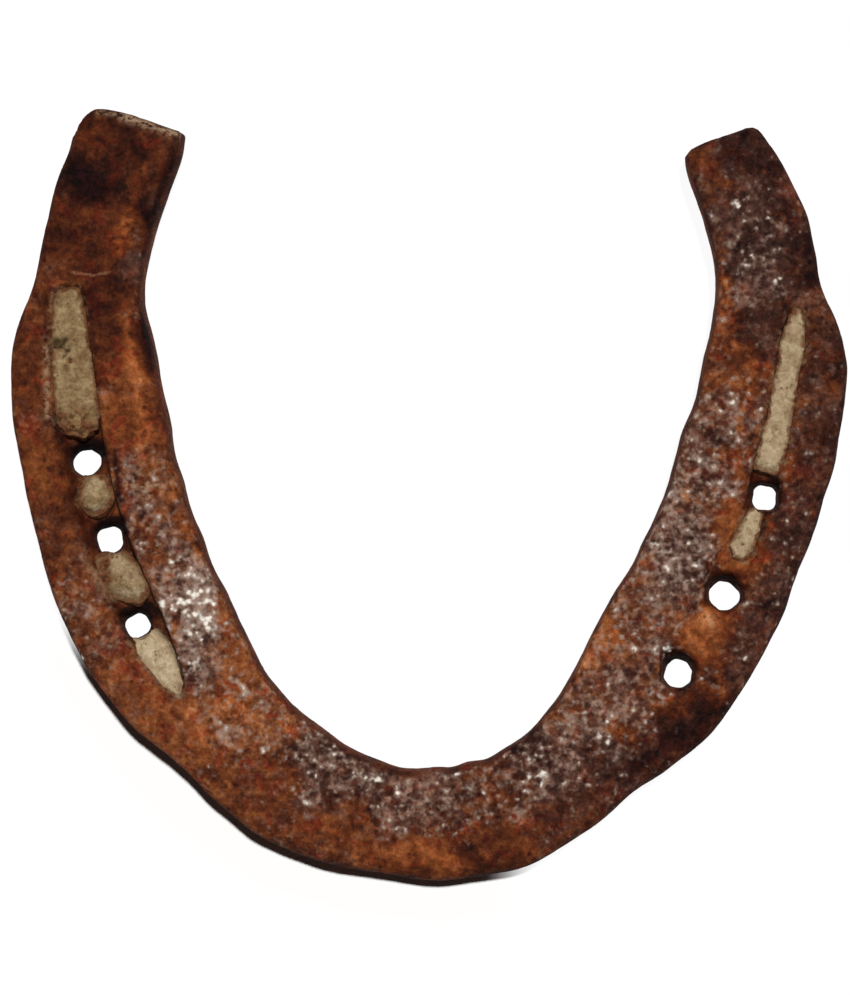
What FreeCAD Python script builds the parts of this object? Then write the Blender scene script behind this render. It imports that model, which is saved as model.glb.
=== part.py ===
import FreeCAD, Part
import math
import os

# Hand-forged, worn horseshoe, lying hoof side down.
#
# Frame: millimetres, +Z up.  The hoof side is the plane z = 0; the ground
# side, with the two nail creases, faces +Z.  +Y runs towards the two heels,
# -Y towards the toe, and +X is the right branch seen from above.  The origin
# is the middle of the bounding box in plan, on the hoof-side plane.
#
# The bar is one solid.  Each lump of dried soil packed into the creases is
# its own solid, set a hair clear of the iron.

# Added to every plan point of the tables, so that the origin is the middle
SHIFT_X = 0.176
SHIFT_Y = -0.495

# ---- bar --------------------------------------------------------------------
BOTTOM_EDGE_R = 1.1    # rounding of the two hoof-side edges
WALL_BULGE = 0.25      # how far the walls bulge at mid height
TOP_CROWN = 0.15       # crown of the ground surface across the web
SECTION_BOTTOM = -0.25  # sections start below z = 0 and are cut flat there
HEEL_OVERRUN = 4.5     # the bar is lofted this far past the heels, then cut
ARC_INSET = 1.0 - math.sqrt(0.5)  # middle of a quarter round, as a part of its radius
BOTTOM_ARC_ACROSS = 0.9  # share of ARC_INSET used across the web, hoof-side edges
BOTTOM_ARC_UP = 0.75     # the same, upwards

# One row per station, left heel -> toe -> right heel:
# outer edge x, y; inner edge x, y; thickness;
# outer top edge rounding (run across, drop); inner top edge rounding (same).
BAR = [
    (-59.53,  65.99, -41.42,  62.22, 7.64, 1.81, 1.21, 3.64, 2.88),
    (-60.07,  62.26, -41.98,  58.29, 7.74, 1.84, 1.21, 3.46, 2.80),
    (-60.89,  58.75, -43.32,  54.45, 7.81, 1.78, 1.27, 3.47, 2.59),
    (-62.27,  55.31, -44.70,  50.67, 7.94, 1.90, 1.20, 3.11, 2.64),
    (-63.47,  51.51, -45.95,  47.14, 8.01, 1.85, 1.25, 2.99, 2.36),
    (-64.48,  47.53, -46.95,  43.67, 8.00, 1.55, 1.50, 3.23, 1.80),
    (-65.39,  43.46, -47.75,  40.20, 8.07, 1.53, 1.52, 2.99, 1.64),
    (-66.17,  39.32, -48.35,  36.73, 8.23, 1.79, 1.34, 2.39, 1.76),
    (-67.23,  35.16, -48.37,  33.23, 8.32, 1.84, 1.32, 2.20, 1.67),
    (-68.98,  30.95, -47.55,  29.75, 8.39, 1.83, 1.35, 2.13, 1.56),
    (-70.26,  26.56, -46.67,  26.39, 8.53, 2.04, 1.20, 1.85, 1.68),
    (-70.67,  22.08, -46.02,  23.11, 8.57, 2.07, 1.20, 1.83, 1.68),
    (-70.65,  17.62, -45.52,  19.84, 8.47, 1.75, 1.45, 2.20, 1.41),
    (-70.43,  13.22, -44.75,  16.56, 8.43, 1.63, 1.55, 2.32, 1.31),
    (-69.68,   8.94, -43.95,  13.24, 8.48, 1.81, 1.44, 2.13, 1.44),
    (-68.86,   4.73, -43.56,   9.81, 8.48, 1.81, 1.45, 2.13, 1.43),
    (-68.13,   0.54, -42.86,   6.40, 8.47, 1.80, 1.48, 2.15, 1.41),
    (-67.10,  -3.58, -41.71,   3.09, 8.56, 2.11, 1.28, 1.84, 1.63),
    (-65.97,  -7.68, -40.92,  -0.30, 8.60, 2.26, 1.18, 1.69, 1.73),
    (-64.98, -11.85, -39.83,  -3.57, 8.51, 2.00, 1.40, 1.98, 1.51),
    (-63.81, -16.04, -38.36,  -6.66, 8.46, 1.85, 1.53, 2.15, 1.38),
    (-62.18, -20.12, -37.32,  -9.84, 8.48, 1.96, 1.47, 2.05, 1.45),
    (-60.25, -24.13, -36.03, -12.86, 8.46, 1.88, 1.55, 2.13, 1.37),
    (-58.16, -28.09, -34.50, -15.71, 8.43, 1.80, 1.62, 2.22, 1.30),
    (-55.46, -31.76, -33.09, -18.57, 8.52, 2.13, 1.41, 1.91, 1.52),
    (-52.70, -35.35, -31.78, -21.51, 8.59, 2.41, 1.24, 1.66, 1.70),
    (-49.70, -38.72, -30.32, -24.38, 8.54, 2.24, 1.38, 1.83, 1.57),
    (-46.12, -41.56, -28.85, -27.34, 8.44, 2.12, 1.48, 1.95, 1.47),
    (-42.61, -44.31, -27.20, -30.24, 8.37, 2.21, 1.44, 1.88, 1.51),
    (-39.47, -47.36, -25.11, -32.76, 8.23, 2.04, 1.58, 2.04, 1.38),
    (-36.44, -50.61, -22.97, -35.19, 8.07, 1.84, 1.74, 2.23, 1.23),
    (-32.94, -53.48, -20.56, -37.19, 8.05, 2.26, 1.64, 1.99, 1.40),
    (-29.34, -56.37, -18.10, -38.99, 8.05, 2.89, 1.50, 1.72, 1.62),
    (-25.23, -58.64, -15.67, -40.76, 7.94, 3.05, 1.66, 1.84, 1.56),
    (-20.87, -60.42, -13.20, -42.50, 7.80, 3.24, 1.80, 1.94, 1.52),
    (-16.41, -61.88, -10.47, -43.74, 7.71, 3.49, 1.73, 1.87, 1.60),
    (-11.78, -62.72,  -7.64, -44.79, 7.54, 3.20, 1.90, 2.11, 1.46),
    ( -7.17, -63.45,  -4.77, -45.81, 7.32, 2.69, 2.20, 2.49, 1.23),
    ( -2.50, -64.22,  -1.79, -46.01, 7.24, 2.88, 2.09, 2.42, 1.31),
    (  2.30, -64.57,   1.14, -45.79, 7.41, 3.31, 1.84, 2.08, 1.50),
    (  7.12, -63.98,   4.02, -45.71, 7.49, 3.26, 1.86, 2.07, 1.48),
    ( 11.97, -63.25,   6.72, -44.73, 7.59, 3.31, 1.84, 2.00, 1.50),
    ( 16.76, -62.06,   9.59, -44.31, 7.74, 3.56, 1.62, 1.75, 1.65),
    ( 21.09, -59.78,  12.17, -42.93, 7.80, 3.13, 1.66, 1.83, 1.56),
    ( 25.12, -57.25,  14.72, -41.34, 7.78, 2.41, 1.90, 2.15, 1.29),
    ( 28.93, -54.64,  17.23, -39.47, 7.87, 2.21, 1.81, 2.11, 1.29),
    ( 32.26, -51.63,  19.40, -37.02, 8.01, 2.33, 1.63, 1.93, 1.42),
    ( 35.58, -48.78,  21.49, -34.42, 8.09, 2.23, 1.66, 1.98, 1.38),
    ( 39.31, -46.37,  23.32, -31.55, 8.20, 2.26, 1.61, 1.93, 1.42),
    ( 42.81, -43.68,  24.98, -28.58, 8.38, 2.56, 1.36, 1.64, 1.64),
    ( 46.29, -40.87,  26.51, -25.57, 8.47, 2.51, 1.36, 1.65, 1.63),
    ( 49.26, -37.62,  27.94, -22.54, 8.38, 2.09, 1.62, 1.97, 1.39),
    ( 51.73, -34.03,  29.53, -19.64, 8.36, 1.97, 1.67, 2.04, 1.33),
    ( 54.04, -30.38,  31.14, -16.73, 8.38, 2.04, 1.59, 1.95, 1.39),
    ( 56.18, -26.66,  32.93, -13.90, 8.34, 1.90, 1.69, 2.07, 1.30),
    ( 58.13, -22.86,  34.75, -11.05, 8.35, 1.91, 1.67, 2.06, 1.31),
    ( 59.99, -19.04,  36.11,  -7.94, 8.45, 2.28, 1.39, 1.73, 1.56),
    ( 61.21, -14.97,  37.66,  -4.90, 8.49, 2.39, 1.30, 1.62, 1.64),
    ( 62.70, -11.05,  39.08,  -1.76, 8.41, 2.13, 1.48, 1.85, 1.46),
    ( 64.34,  -7.22,  40.32,   1.46, 8.39, 2.05, 1.53, 1.92, 1.41),
    ( 65.60,  -3.25,  41.24,   4.81, 8.41, 2.09, 1.49, 1.88, 1.44),
    ( 66.78,   0.75,  42.21,   8.12, 8.34, 1.86, 1.65, 2.09, 1.28),
    ( 68.13,   4.76,  43.05,  11.40, 8.31, 1.76, 1.71, 2.18, 1.21),
    ( 68.84,   9.03,  44.43,  14.47, 8.41, 2.09, 1.46, 1.87, 1.44),
    ( 69.61,  13.39,  45.40,  17.56, 8.47, 2.29, 1.30, 1.67, 1.59),
    ( 70.16,  17.88,  46.08,  20.62, 8.41, 2.14, 1.40, 1.81, 1.48),
    ( 70.29,  22.46,  46.61,  23.68, 8.34, 2.13, 1.40, 1.82, 1.48),
    ( 69.44,  27.00,  47.43,  26.81, 8.30, 2.19, 1.35, 1.76, 1.52),
    ( 67.88,  31.34,  48.01,  30.08, 8.16, 1.91, 1.54, 2.01, 1.33),
    ( 66.09,  35.45,  48.45,  33.49, 8.03, 1.69, 1.69, 2.22, 1.17),
    ( 65.38,  39.61,  48.61,  36.97, 8.04, 1.92, 1.51, 2.00, 1.34),
    ( 64.56,  43.74,  48.26,  40.40, 8.05, 2.14, 1.35, 1.79, 1.49),
    ( 63.50,  47.84,  47.39,  43.72, 7.95, 2.06, 1.40, 1.86, 1.44),
    ( 61.65,  51.63,  46.47,  47.07, 7.89, 2.13, 1.33, 1.79, 1.49),
    ( 59.88,  55.25,  45.31,  50.52, 7.85, 2.28, 1.22, 1.64, 1.59),
    ( 57.90,  58.57,  43.99,  54.11, 7.69, 2.03, 1.39, 1.88, 1.42),
    ( 56.37,  62.03,  43.51,  58.04, 7.51, 1.72, 1.60, 2.17, 1.20),
]

# ---- heel ends --------------------------------------------------------------
# Left heel, then right heel.  end_curve: plan points of the worn end;
# beyond: corners that close the waste past it; bevel_line: where the bevel of
# the top edge starts, with +Y on its left hand; run and drop give its slope.
HEELS = [
    {"end_curve": [
        (-63.69, 58.87), (-61.46, 60.29), (-59.93, 61.63), (-58.99, 63.07),
        (-57.88, 64.50), (-56.85, 65.33), (-55.49, 65.75), (-54.12, 65.80),
        (-52.08, 65.38), (-49.69, 64.85), (-46.97, 63.90), (-44.59, 63.04),
        (-42.20, 62.18), (-40.50, 61.57), (-38.12, 60.71)],
     "beyond": [(-34, 64), (-34, 82), (-72, 82), (-72, 60)],
     "bevel_line": [(-54.36, 65.05), (-40.42, 60.14)],
     "run": 1.25, "drop": 1.7, "thickness": BAR[0][4]},
    {"end_curve": [
        (40.96, 55.61), (43.29, 57.44), (44.45, 58.52), (45.62, 59.18),
        (48.11, 60.08), (50.61, 60.81), (52.94, 61.59), (54.43, 61.77),
        (55.59, 61.44), (56.51, 60.60), (57.42, 59.26), (58.75, 57.91),
        (61.07, 56.64)],
     "beyond": [(66, 54), (66, 80), (34, 80), (34, 55)],
     "bevel_line": [(43.92, 57.35), (53.39, 61.04)],
     "run": 0.8, "drop": 0.9, "thickness": BAR[-1][4]},
]
TRIM_BOTTOM = -2.0
TRIM_HEIGHT = 15.0
BEVEL_OVERRUN = 4.0   # the bevel cutter passes both ends of its line by this
BEVEL_REACH = 6.0     # and reaches this far out past the heel
BEVEL_BACK = 1.0      # and this far back over the bar, above its surface

# ---- nail creases -----------------------------------------------------------
CREASE_INNER_LEAN = 0.40  # lean of the inner wall over LEAN_DEPTH
CREASE_OUTER_LEAN = 2.1   # lean of the outer wall: a slope worn by the hammer
LEAN_DEPTH = 3.0
FULL_LEAN_WIDTH = 4.0     # narrower creases lean less at the inner wall
OUTER_LEAN_SHARE = 0.30   # the outer lean is at most this share of the width
MIN_TOP_WIDTH = 0.10      # the walls never come closer than this
MIN_FLOOR_WIDTH = 0.08
MIN_FILL_HEIGHT = 0.15    # stations with less soil than this are left out
CUT_ABOVE = 2.0           # crease and seat cutters rise this far above the bar

# One row per station, heel -> toe: outer wall x, y; inner wall x, y; depth.
CREASES = {
    "left": [
        (-61.68,  36.37, -59.13,  36.86, -0.40),
        (-62.70,  35.02, -58.45,  35.51,  1.60),
        (-63.38,  32.83, -57.77,  33.31,  2.80),
        (-63.72,  28.27, -57.09,  28.93,  3.00),
        (-63.72,  23.21, -56.40,  23.70,  3.00),
        (-63.38,  17.30, -55.55,  17.96,  3.00),
        (-62.70,  11.39, -54.87,  12.23,  3.00),
        (-62.02,   6.33, -54.02,   7.67,  3.20),
        (-60.66,   0.42, -52.84,   1.94,  3.20),
        (-59.13,  -5.15, -51.31,  -3.12,  3.20),
        (-57.43, -10.54, -49.61,  -8.34,  3.10),
        (-55.21, -15.60, -47.40, -13.06,  3.10),
        (-52.67, -20.31, -45.37, -17.60,  3.10),
        (-50.12, -24.69, -43.50, -21.81,  3.00),
        (-47.57, -28.56, -42.15, -25.68,  2.60),
        (-44.86, -31.58, -41.13, -29.38,  1.80),
        (-42.82, -33.59, -40.45, -32.40,  0.80),
        (-41.30, -35.10, -40.11, -34.42, -0.40),
    ],
    "right": [
        ( 62.25,  32.83,  61.59,  33.00, -0.40),
        ( 62.91,  31.16,  60.76,  31.67,  1.40),
        ( 63.41,  28.67,  59.94,  29.51,  2.40),
        ( 63.41,  24.51,  59.11,  25.36,  2.80),
        ( 62.42,  19.53,  58.28,  20.87,  2.80),
        ( 61.59,  14.55,  57.46,  15.88,  2.80),
        ( 60.93,   9.56,  56.30,  11.06,  2.80),
        ( 59.77,   5.40,  54.98,   6.74,  2.80),
        ( 58.95,   1.25,  53.98,   2.25,  3.00),
        ( 57.95,  -2.41,  53.16,  -1.08,  3.00),
        ( 56.47,  -5.74,  52.16,  -4.41,  3.00),
        ( 55.31,  -9.07,  50.67,  -7.24,  3.00),
        ( 54.31, -12.06,  48.52,  -9.74,  3.00),
        ( 53.16, -15.39,  46.86, -13.24,  3.00),
        ( 52.00, -19.06,  45.20, -16.74,  1.60),
        ( 49.51, -23.06,  43.21, -20.41,  1.00),
        ( 46.86, -27.06,  41.22, -24.75,  1.40),
        ( 44.87, -31.07,  39.23, -28.42,  1.00),
        ( 41.22, -34.58,  38.40, -32.76, -0.40),
    ],
}

# ---- punched nail holes -----------------------------------------------------
HEAD_DEPTH = 5.2      # depth of the tapered nail-head seat below the top
HEAD_CORNER = 0.18    # corner cut of the seat, as a share of each side
HOLE_GROWTH = 0.05    # the shaft is cut this much larger all round
ENTRY_HEIGHT = 8.5    # height of the "entry" outlines
SHAFT_BOTTOM = -1.0   # the shaft cutter runs clear of the bar at both ends
SHAFT_TOP = 11.0

# Plan quadrilaterals of the shaft at z = 0 (exit) and at the ground surface
# (entry), and of the nail-head seat at the ground surface (head);
# corner = how far the shaft's corners are worn, as a share of each side.
NAIL_HOLES = {
    "left_heel": {
        "exit": [(-61.28, 7.66), (-56.42, 8.43), (-56.08, 4.39), (-60.59, 3.36)],
        "entry": [(-59.64, 7.51), (-54.87, 8.26), (-54.53, 4.30), (-58.96, 3.29)],
        "head": [(-61.68, 10.21), (-53.86, 10.54), (-53.18, 3.62), (-59.98, 2.62)],
        "corner": 0.30},
    "left_mid": {
        "exit": [(-57.20, -5.76), (-52.96, -4.81), (-52.26, -8.68), (-55.99, -10.24)],
        "entry": [(-55.64, -5.65), (-51.48, -4.72), (-50.80, -8.51), (-54.45, -10.03)],
        "head": [(-57.60, -3.12), (-50.97, -1.77), (-49.44, -9.02), (-55.21, -10.71)],
        "corner": 0.20},
    "left_toe": {
        "exit": [(-52.44, -21.24), (-48.89, -19.51), (-47.24, -22.60), (-50.79, -24.67)],
        "entry": [(-50.97, -20.82), (-47.49, -19.12), (-45.88, -22.15), (-49.35, -24.18)],
        "head": [(-53.01, -19.13), (-46.89, -16.93), (-44.69, -21.81), (-49.95, -24.86)],
        "corner": 0.20},
    "right_heel": {
        "exit": [(55.57, 2.21), (59.20, 1.61), (59.03, -2.29), (55.06, -1.87)],
        "entry": [(54.89, 2.16), (58.45, 1.58), (58.28, -2.25), (54.40, -1.83)],
        "head": [(54.15, 3.91), (59.61, 3.08), (59.11, -2.74), (53.49, -2.08)],
        "corner": 0.20},
    "right_mid": {
        "exit": [(47.88, -13.93), (52.95, -14.69), (53.12, -18.93), (47.88, -19.28)],
        "entry": [(47.36, -13.66), (52.33, -14.40), (52.49, -18.56), (47.36, -18.90)],
        "head": [(47.52, -10.74), (54.31, -12.40), (53.32, -18.06), (46.36, -17.40)],
        "corner": 0.33},
    "right_toe": {
        "exit": [(41.02, -27.12), (45.17, -28.21), (44.58, -32.46), (39.92, -31.97)],
        "entry": [(40.64, -26.58), (44.70, -27.65), (44.12, -31.82), (39.56, -31.34)],
        "head": [(39.56, -24.09), (46.03, -26.23), (44.87, -32.07), (38.73, -31.42)],
        "corner": 0.28},
}

# ---- packed soil ------------------------------------------------------------
SOIL_TOP_DROP = 0.55    # the soil stops this far below the ground surface
SOIL_GAP = 0.03         # clearance between soil and crease
SOIL_HOLE_GAP = SOIL_GAP + 0.02   # clearance round the nail holes
SOIL_CUT_BOTTOM = 0.5   # height range of the prism that cuts a lump out
SOIL_CUT_TOP = 12.0

# Plan outlines, by side and place; each file is packed_soil_<name>.
LUMPS = {
    "left_heel_upper": [
        (-62.48, 34.90), (-58.90, 35.73), (-58.22, 33.36), (-57.54, 30.49),
        (-57.20, 27.11), (-56.86, 24.74), (-59.07, 23.74), (-61.12, 23.57),
        (-60.61, 24.92), (-60.78, 25.77), (-62.31, 25.44), (-63.50, 26.12),
        (-64.02, 28.32), (-63.84, 30.51), (-62.99, 33.38),
    ],
    "left_heel_lower": [
        (-63.67, 25.61), (-62.31, 24.93), (-60.95, 25.09), (-61.12, 23.07),
        (-59.07, 23.23), (-56.35, 24.24), (-55.84, 21.53), (-55.32, 18.66),
        (-55.15, 14.44), (-55.66, 11.91), (-57.88, 10.39), (-60.61, 10.90),
        (-62.31, 12.59), (-62.99, 14.79), (-63.33, 17.33), (-62.99, 20.71),
        (-64.02, 23.75),
    ],
    "left_mid": [
        (-58.56, 2.62), (-53.62, 3.12), (-53.11, 1.27), (-52.94, -0.42),
        (-54.47, -2.28), (-56.01, -3.12), (-57.54, -2.62), (-58.90, -0.76),
    ],
    "left_quarter": [
        (-57.37, -10.73), (-55.49, -10.22), (-54.30, -10.55), (-50.22, -9.70),
        (-48.69, -11.56), (-47.16, -13.92), (-46.82, -15.94), (-48.52, -17.80),
        (-50.22, -17.47), (-51.24, -17.30), (-52.94, -16.97), (-54.64, -15.28),
        (-56.35, -12.92),
    ],
    "left_toe": [
        (-49.88, -24.55), (-48.18, -24.04), (-45.29, -22.69), (-43.43, -25.04),
        (-42.07, -28.07), (-41.05, -31.78), (-41.39, -33.30), (-42.58, -32.63),
        (-44.95, -31.29), (-47.67, -28.93), (-48.86, -26.58),
    ],
    "right_heel": [
        (61.81, 31.71), (62.64, 31.38), (63.47, 27.88), (63.30, 24.55),
        (62.14, 20.06), (61.65, 17.56), (61.15, 14.57), (61.32, 11.74),
        (60.99, 8.74), (59.66, 6.08), (58.50, 3.91), (56.68, 4.58),
        (54.86, 5.08), (55.52, 7.08), (56.35, 10.91), (57.34, 13.74),
        (57.67, 17.57), (58.34, 19.57), (59.00, 22.90), (59.33, 25.89),
        (60.32, 28.72),
    ],
    "right_mid": [
        (53.53, -2.75), (54.36, -2.58), (56.35, -2.75), (56.18, -4.41),
        (55.36, -6.58), (54.53, -8.91), (53.20, -10.42), (51.54, -9.92),
        (51.05, -8.08), (52.21, -5.75), (53.04, -3.75),
    ],
}


# ---- shared helpers ---------------------------------------------------------
def place(x, y, z):
    return FreeCAD.Vector(x + SHIFT_X, y + SHIFT_Y, z)


def place_all(points, z):
    return [place(x, y, z) for x, y in points]


def closed_wire(vectors):
    return Part.makePolygon(vectors + [vectors[0]])


def centroid(points):
    """Mean of the plan points."""
    return (sum(x for x, y in points) / len(points),
            sum(y for x, y in points) / len(points))


def loft(wires, ruled=False):
    shape = Part.makeLoft(wires, True, ruled, False)
    if shape.ShapeType != "Solid":
        shape = shape.Solids[0]
    if shape.Volume < 0:
        shape.reverse()
    return shape


def largest_solid(shape):
    return max(shape.Solids, key=lambda solid: solid.Volume)


def across_web(outer_x, outer_y, inner_x, inner_y):
    """Width from inner to outer point, and a function that places a point at
    a distance from the inner one and a height."""
    width = math.hypot(outer_x - inner_x, outer_y - inner_y)
    dir_x = (outer_x - inner_x) / width
    dir_y = (outer_y - inner_y) / width

    def point(distance, z):
        return place(inner_x + dir_x * distance, inner_y + dir_y * distance, z)
    return width, point


def thickness_near(x, y):
    """Bar thickness at the nearest station."""
    nearest = min(BAR, key=lambda row: math.hypot((row[0] + row[2]) / 2 - x,
                                                  (row[1] + row[3]) / 2 - y))
    return nearest[4]


# ---- bar and heels ----------------------------------------------------------
def overrun_row(end, neighbour):
    """The end station moved HEEL_OVERRUN further along both edges."""
    row = list(end)
    for i in (0, 2):
        dx = end[i] - neighbour[i]
        dy = end[i + 1] - neighbour[i + 1]
        factor = HEEL_OVERRUN / math.hypot(dx, dy)
        row[i] += dx * factor
        row[i + 1] += dy * factor
    return row


def bar_section(row):
    """Closed section across the web, 8 edges."""
    thick, outer_run, outer_drop, inner_run, inner_drop = row[4:]
    width, point = across_web(*row[:4])
    radius = BOTTOM_EDGE_R
    outer_top = thick - outer_drop
    inner_top = thick - inner_drop
    arc_across = radius * ARC_INSET * BOTTOM_ARC_ACROSS
    arc_up = radius * ARC_INSET * BOTTOM_ARC_UP

    # The corners in order, each with the middle point of the arc that leads
    # to the next one; the flat bottom has none.
    corners = [
        (point(radius, SECTION_BOTTOM), None),
        (point(width - radius, SECTION_BOTTOM), point(width - arc_across, arc_up)),
        (point(width, radius), point(width + WALL_BULGE, (radius + outer_top) / 2.0)),
        (point(width, outer_top),
         point(width - outer_run * ARC_INSET, thick - outer_drop * ARC_INSET)),
        (point(width - outer_run, thick),
         point((width - outer_run + inner_run) / 2.0, thick + TOP_CROWN)),
        (point(inner_run, thick),
         point(inner_run * ARC_INSET, thick - inner_drop * ARC_INSET)),
        (point(0.0, inner_top), point(-WALL_BULGE, (radius + inner_top) / 2.0)),
        (point(0.0, radius), point(arc_across, arc_up)),
    ]
    edges = []
    for i, (start, middle) in enumerate(corners):
        end = corners[(i + 1) % len(corners)][0]
        curve = Part.Arc(start, middle, end) if middle else Part.LineSegment(start, end)
        edges.append(curve.toShape())
    return Part.Wire(edges)


def heel_trim(heel):
    """Everything beyond a heel's end curve."""
    curve = place_all(heel["end_curve"], TRIM_BOTTOM)
    spline = Part.BSplineCurve()
    spline.interpolate(curve)
    chain = [curve[-1]] + place_all(heel["beyond"], TRIM_BOTTOM) + [curve[0]]
    edges = [spline.toShape()]
    for start, end in zip(chain[:-1], chain[1:]):
        edges.append(Part.LineSegment(start, end).toShape())
    return Part.Face(Part.Wire(edges)).extrude(FreeCAD.Vector(0, 0, TRIM_HEIGHT))


def heel_bevel(heel):
    """Wedge that bevels the top edge of a heel's end along its line."""
    (start_x, start_y), (end_x, end_y) = heel["bevel_line"]
    length = math.hypot(end_x - start_x, end_y - start_y)
    dir_x, dir_y = (end_x - start_x) / length, (end_y - start_y) / length
    start_x -= dir_x * BEVEL_OVERRUN
    start_y -= dir_y * BEVEL_OVERRUN

    def point(out, z):
        return place(start_x - dir_y * out, start_y + dir_x * out, z)

    slope = heel["drop"] / heel["run"]
    back_z = heel["thickness"] + slope * BEVEL_BACK
    triangle = [point(-BEVEL_BACK, back_z),
                point(BEVEL_REACH, heel["thickness"] - BEVEL_REACH * slope),
                point(BEVEL_REACH, back_z + 2.0)]
    sweep = length + 2 * BEVEL_OVERRUN
    face = Part.Face(closed_wire(triangle))
    return face.extrude(FreeCAD.Vector(dir_x * sweep, dir_y * sweep, 0))


# ---- creases ----------------------------------------------------------------
def keep_apart(inner, outer, width, least):
    """Shrink both wall offsets until the walls are at least this far apart."""
    while width - inner - outer < least:
        inner, outer = inner * 0.9, outer * 0.9
    return inner, outer


def crease_solid(rows, inset=0.0, top=None):
    """Tapered channel along a crease.  inset pulls the walls and floor in;
    top is the height of its upper end, or None for a cutter that runs clear
    of the ground surface."""
    wires = []
    for outer_x, outer_y, inner_x, inner_y, depth in rows:
        surface = thickness_near((outer_x + inner_x) / 2, (outer_y + inner_y) / 2)
        width, point = across_web(outer_x, outer_y, inner_x, inner_y)
        floor_z = surface - depth + inset
        top_z = surface + CUT_ABOVE if top is None else top
        if top is not None and top_z - floor_z < MIN_FILL_HEIGHT:
            continue
        # Lean per unit of depth; the full width is at the ground surface
        leans = (CREASE_INNER_LEAN * min(1.0, width / FULL_LEAN_WIDTH) / LEAN_DEPTH,
                 min(CREASE_OUTER_LEAN, OUTER_LEAN_SHARE * width) / LEAN_DEPTH)

        def walls(z, least):
            """How far the inner and outer walls stand in at height z."""
            inner, outer = [lean * (surface - z) + inset * math.sqrt(1.0 + lean * lean)
                            for lean in leans]
            return keep_apart(inner, outer, width, least)

        top_inner, top_outer = walls(top_z, MIN_TOP_WIDTH)
        floor_inner, floor_outer = walls(floor_z, MIN_FLOOR_WIDTH)
        wires.append(closed_wire([
            point(floor_inner, floor_z), point(width - floor_outer, floor_z),
            point(width - top_outer, top_z), point(top_inner, top_z)]))
    return loft(wires, ruled=True)


# ---- nail holes -------------------------------------------------------------
def cut_corners(quad, share):
    """Octagon from a quadrilateral, corners cut back by a share of each side."""
    octagon = []
    for i, (x, y) in enumerate(quad):
        for next_x, next_y in (quad[i - 1], quad[(i + 1) % len(quad)]):
            octagon.append((x + (next_x - x) * share, y + (next_y - y) * share))
    return octagon


def grow(outline, distance):
    """Move every point away from the centroid."""
    mid_x, mid_y = centroid(outline)
    grown = []
    for x, y in outline:
        radius = math.hypot(x - mid_x, y - mid_y)
        grown.append((x + (x - mid_x) / radius * distance,
                      y + (y - mid_y) / radius * distance))
    return grown


def blend(first, second, t):
    """Outline between two others, or past them when t is outside 0..1."""
    return [(a[0] + (b[0] - a[0]) * t, a[1] + (b[1] - a[1]) * t)
            for a, b in zip(first, second)]


def frustum(lower, lower_z, upper, upper_z):
    return loft([closed_wire(place_all(lower, lower_z)),
                 closed_wire(place_all(upper, upper_z))], ruled=True)


def nail_hole_cutter(hole, extra=0.0):
    """Square punched hole plus its tapered nail-head seat."""
    exit_outline, entry_outline = [
        grow(cut_corners(hole[end], hole["corner"]), extra + HOLE_GROWTH)
        for end in ("exit", "entry")]
    head = grow(cut_corners(hole["head"], HEAD_CORNER), extra)

    def shaft_at(z):
        return blend(exit_outline, entry_outline, z / ENTRY_HEIGHT)

    shaft = frustum(shaft_at(SHAFT_BOTTOM), SHAFT_BOTTOM, shaft_at(SHAFT_TOP), SHAFT_TOP)
    surface = thickness_near(*hole["entry"][0])
    seat_z = surface - HEAD_DEPTH
    seat_bottom = grow(shaft_at(seat_z), HOLE_GROWTH)
    seat_top = blend(seat_bottom, head, 1.0 + CUT_ABOVE / HEAD_DEPTH)
    return shaft.fuse(frustum(seat_bottom, seat_z, seat_top, surface + CUT_ABOVE))


# ---- pieces -----------------------------------------------------------------
def build_bar():
    rows = [overrun_row(BAR[0], BAR[1])] + BAR + [overrun_row(BAR[-1], BAR[-2])]
    bar = loft([bar_section(row) for row in rows])
    # Flatten the hoof side at z = 0
    bar = bar.cut(Part.makeBox(300, 300, 10, FreeCAD.Vector(-150, -150, -10)))
    for heel in HEELS:
        bar = bar.cut(heel_trim(heel))
    for heel in HEELS:
        bar = bar.cut(heel_bevel(heel))
    for rows in CREASES.values():
        bar = bar.cut(crease_solid(rows))
    for hole in NAIL_HOLES.values():
        bar = bar.cut(nail_hole_cutter(hole))
    return largest_solid(bar)


def build_lump(name, outline):
    """Crease filling inside the outline, clear of the nail holes."""
    side = name.split("_")[0]
    top = thickness_near(*centroid(outline)) - SOIL_TOP_DROP
    filling = crease_solid(CREASES[side], inset=SOIL_GAP, top=top)
    face = Part.Face(closed_wire(place_all(outline, SOIL_CUT_BOTTOM)))
    prism = face.extrude(FreeCAD.Vector(0, 0, SOIL_CUT_TOP - SOIL_CUT_BOTTOM))
    lump = filling.common(prism)
    for hole_name, hole in NAIL_HOLES.items():
        if hole_name.startswith(side):
            lump = lump.cut(nail_hole_cutter(hole, extra=SOIL_HOLE_GAP))
    return largest_solid(lump)


os.makedirs("parts", exist_ok=True)
build_bar().exportStep("parts/shoe_bar.step")
for name, outline in LUMPS.items():
    build_lump(name, outline).exportStep("parts/packed_soil_%s.step" % name)
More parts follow.
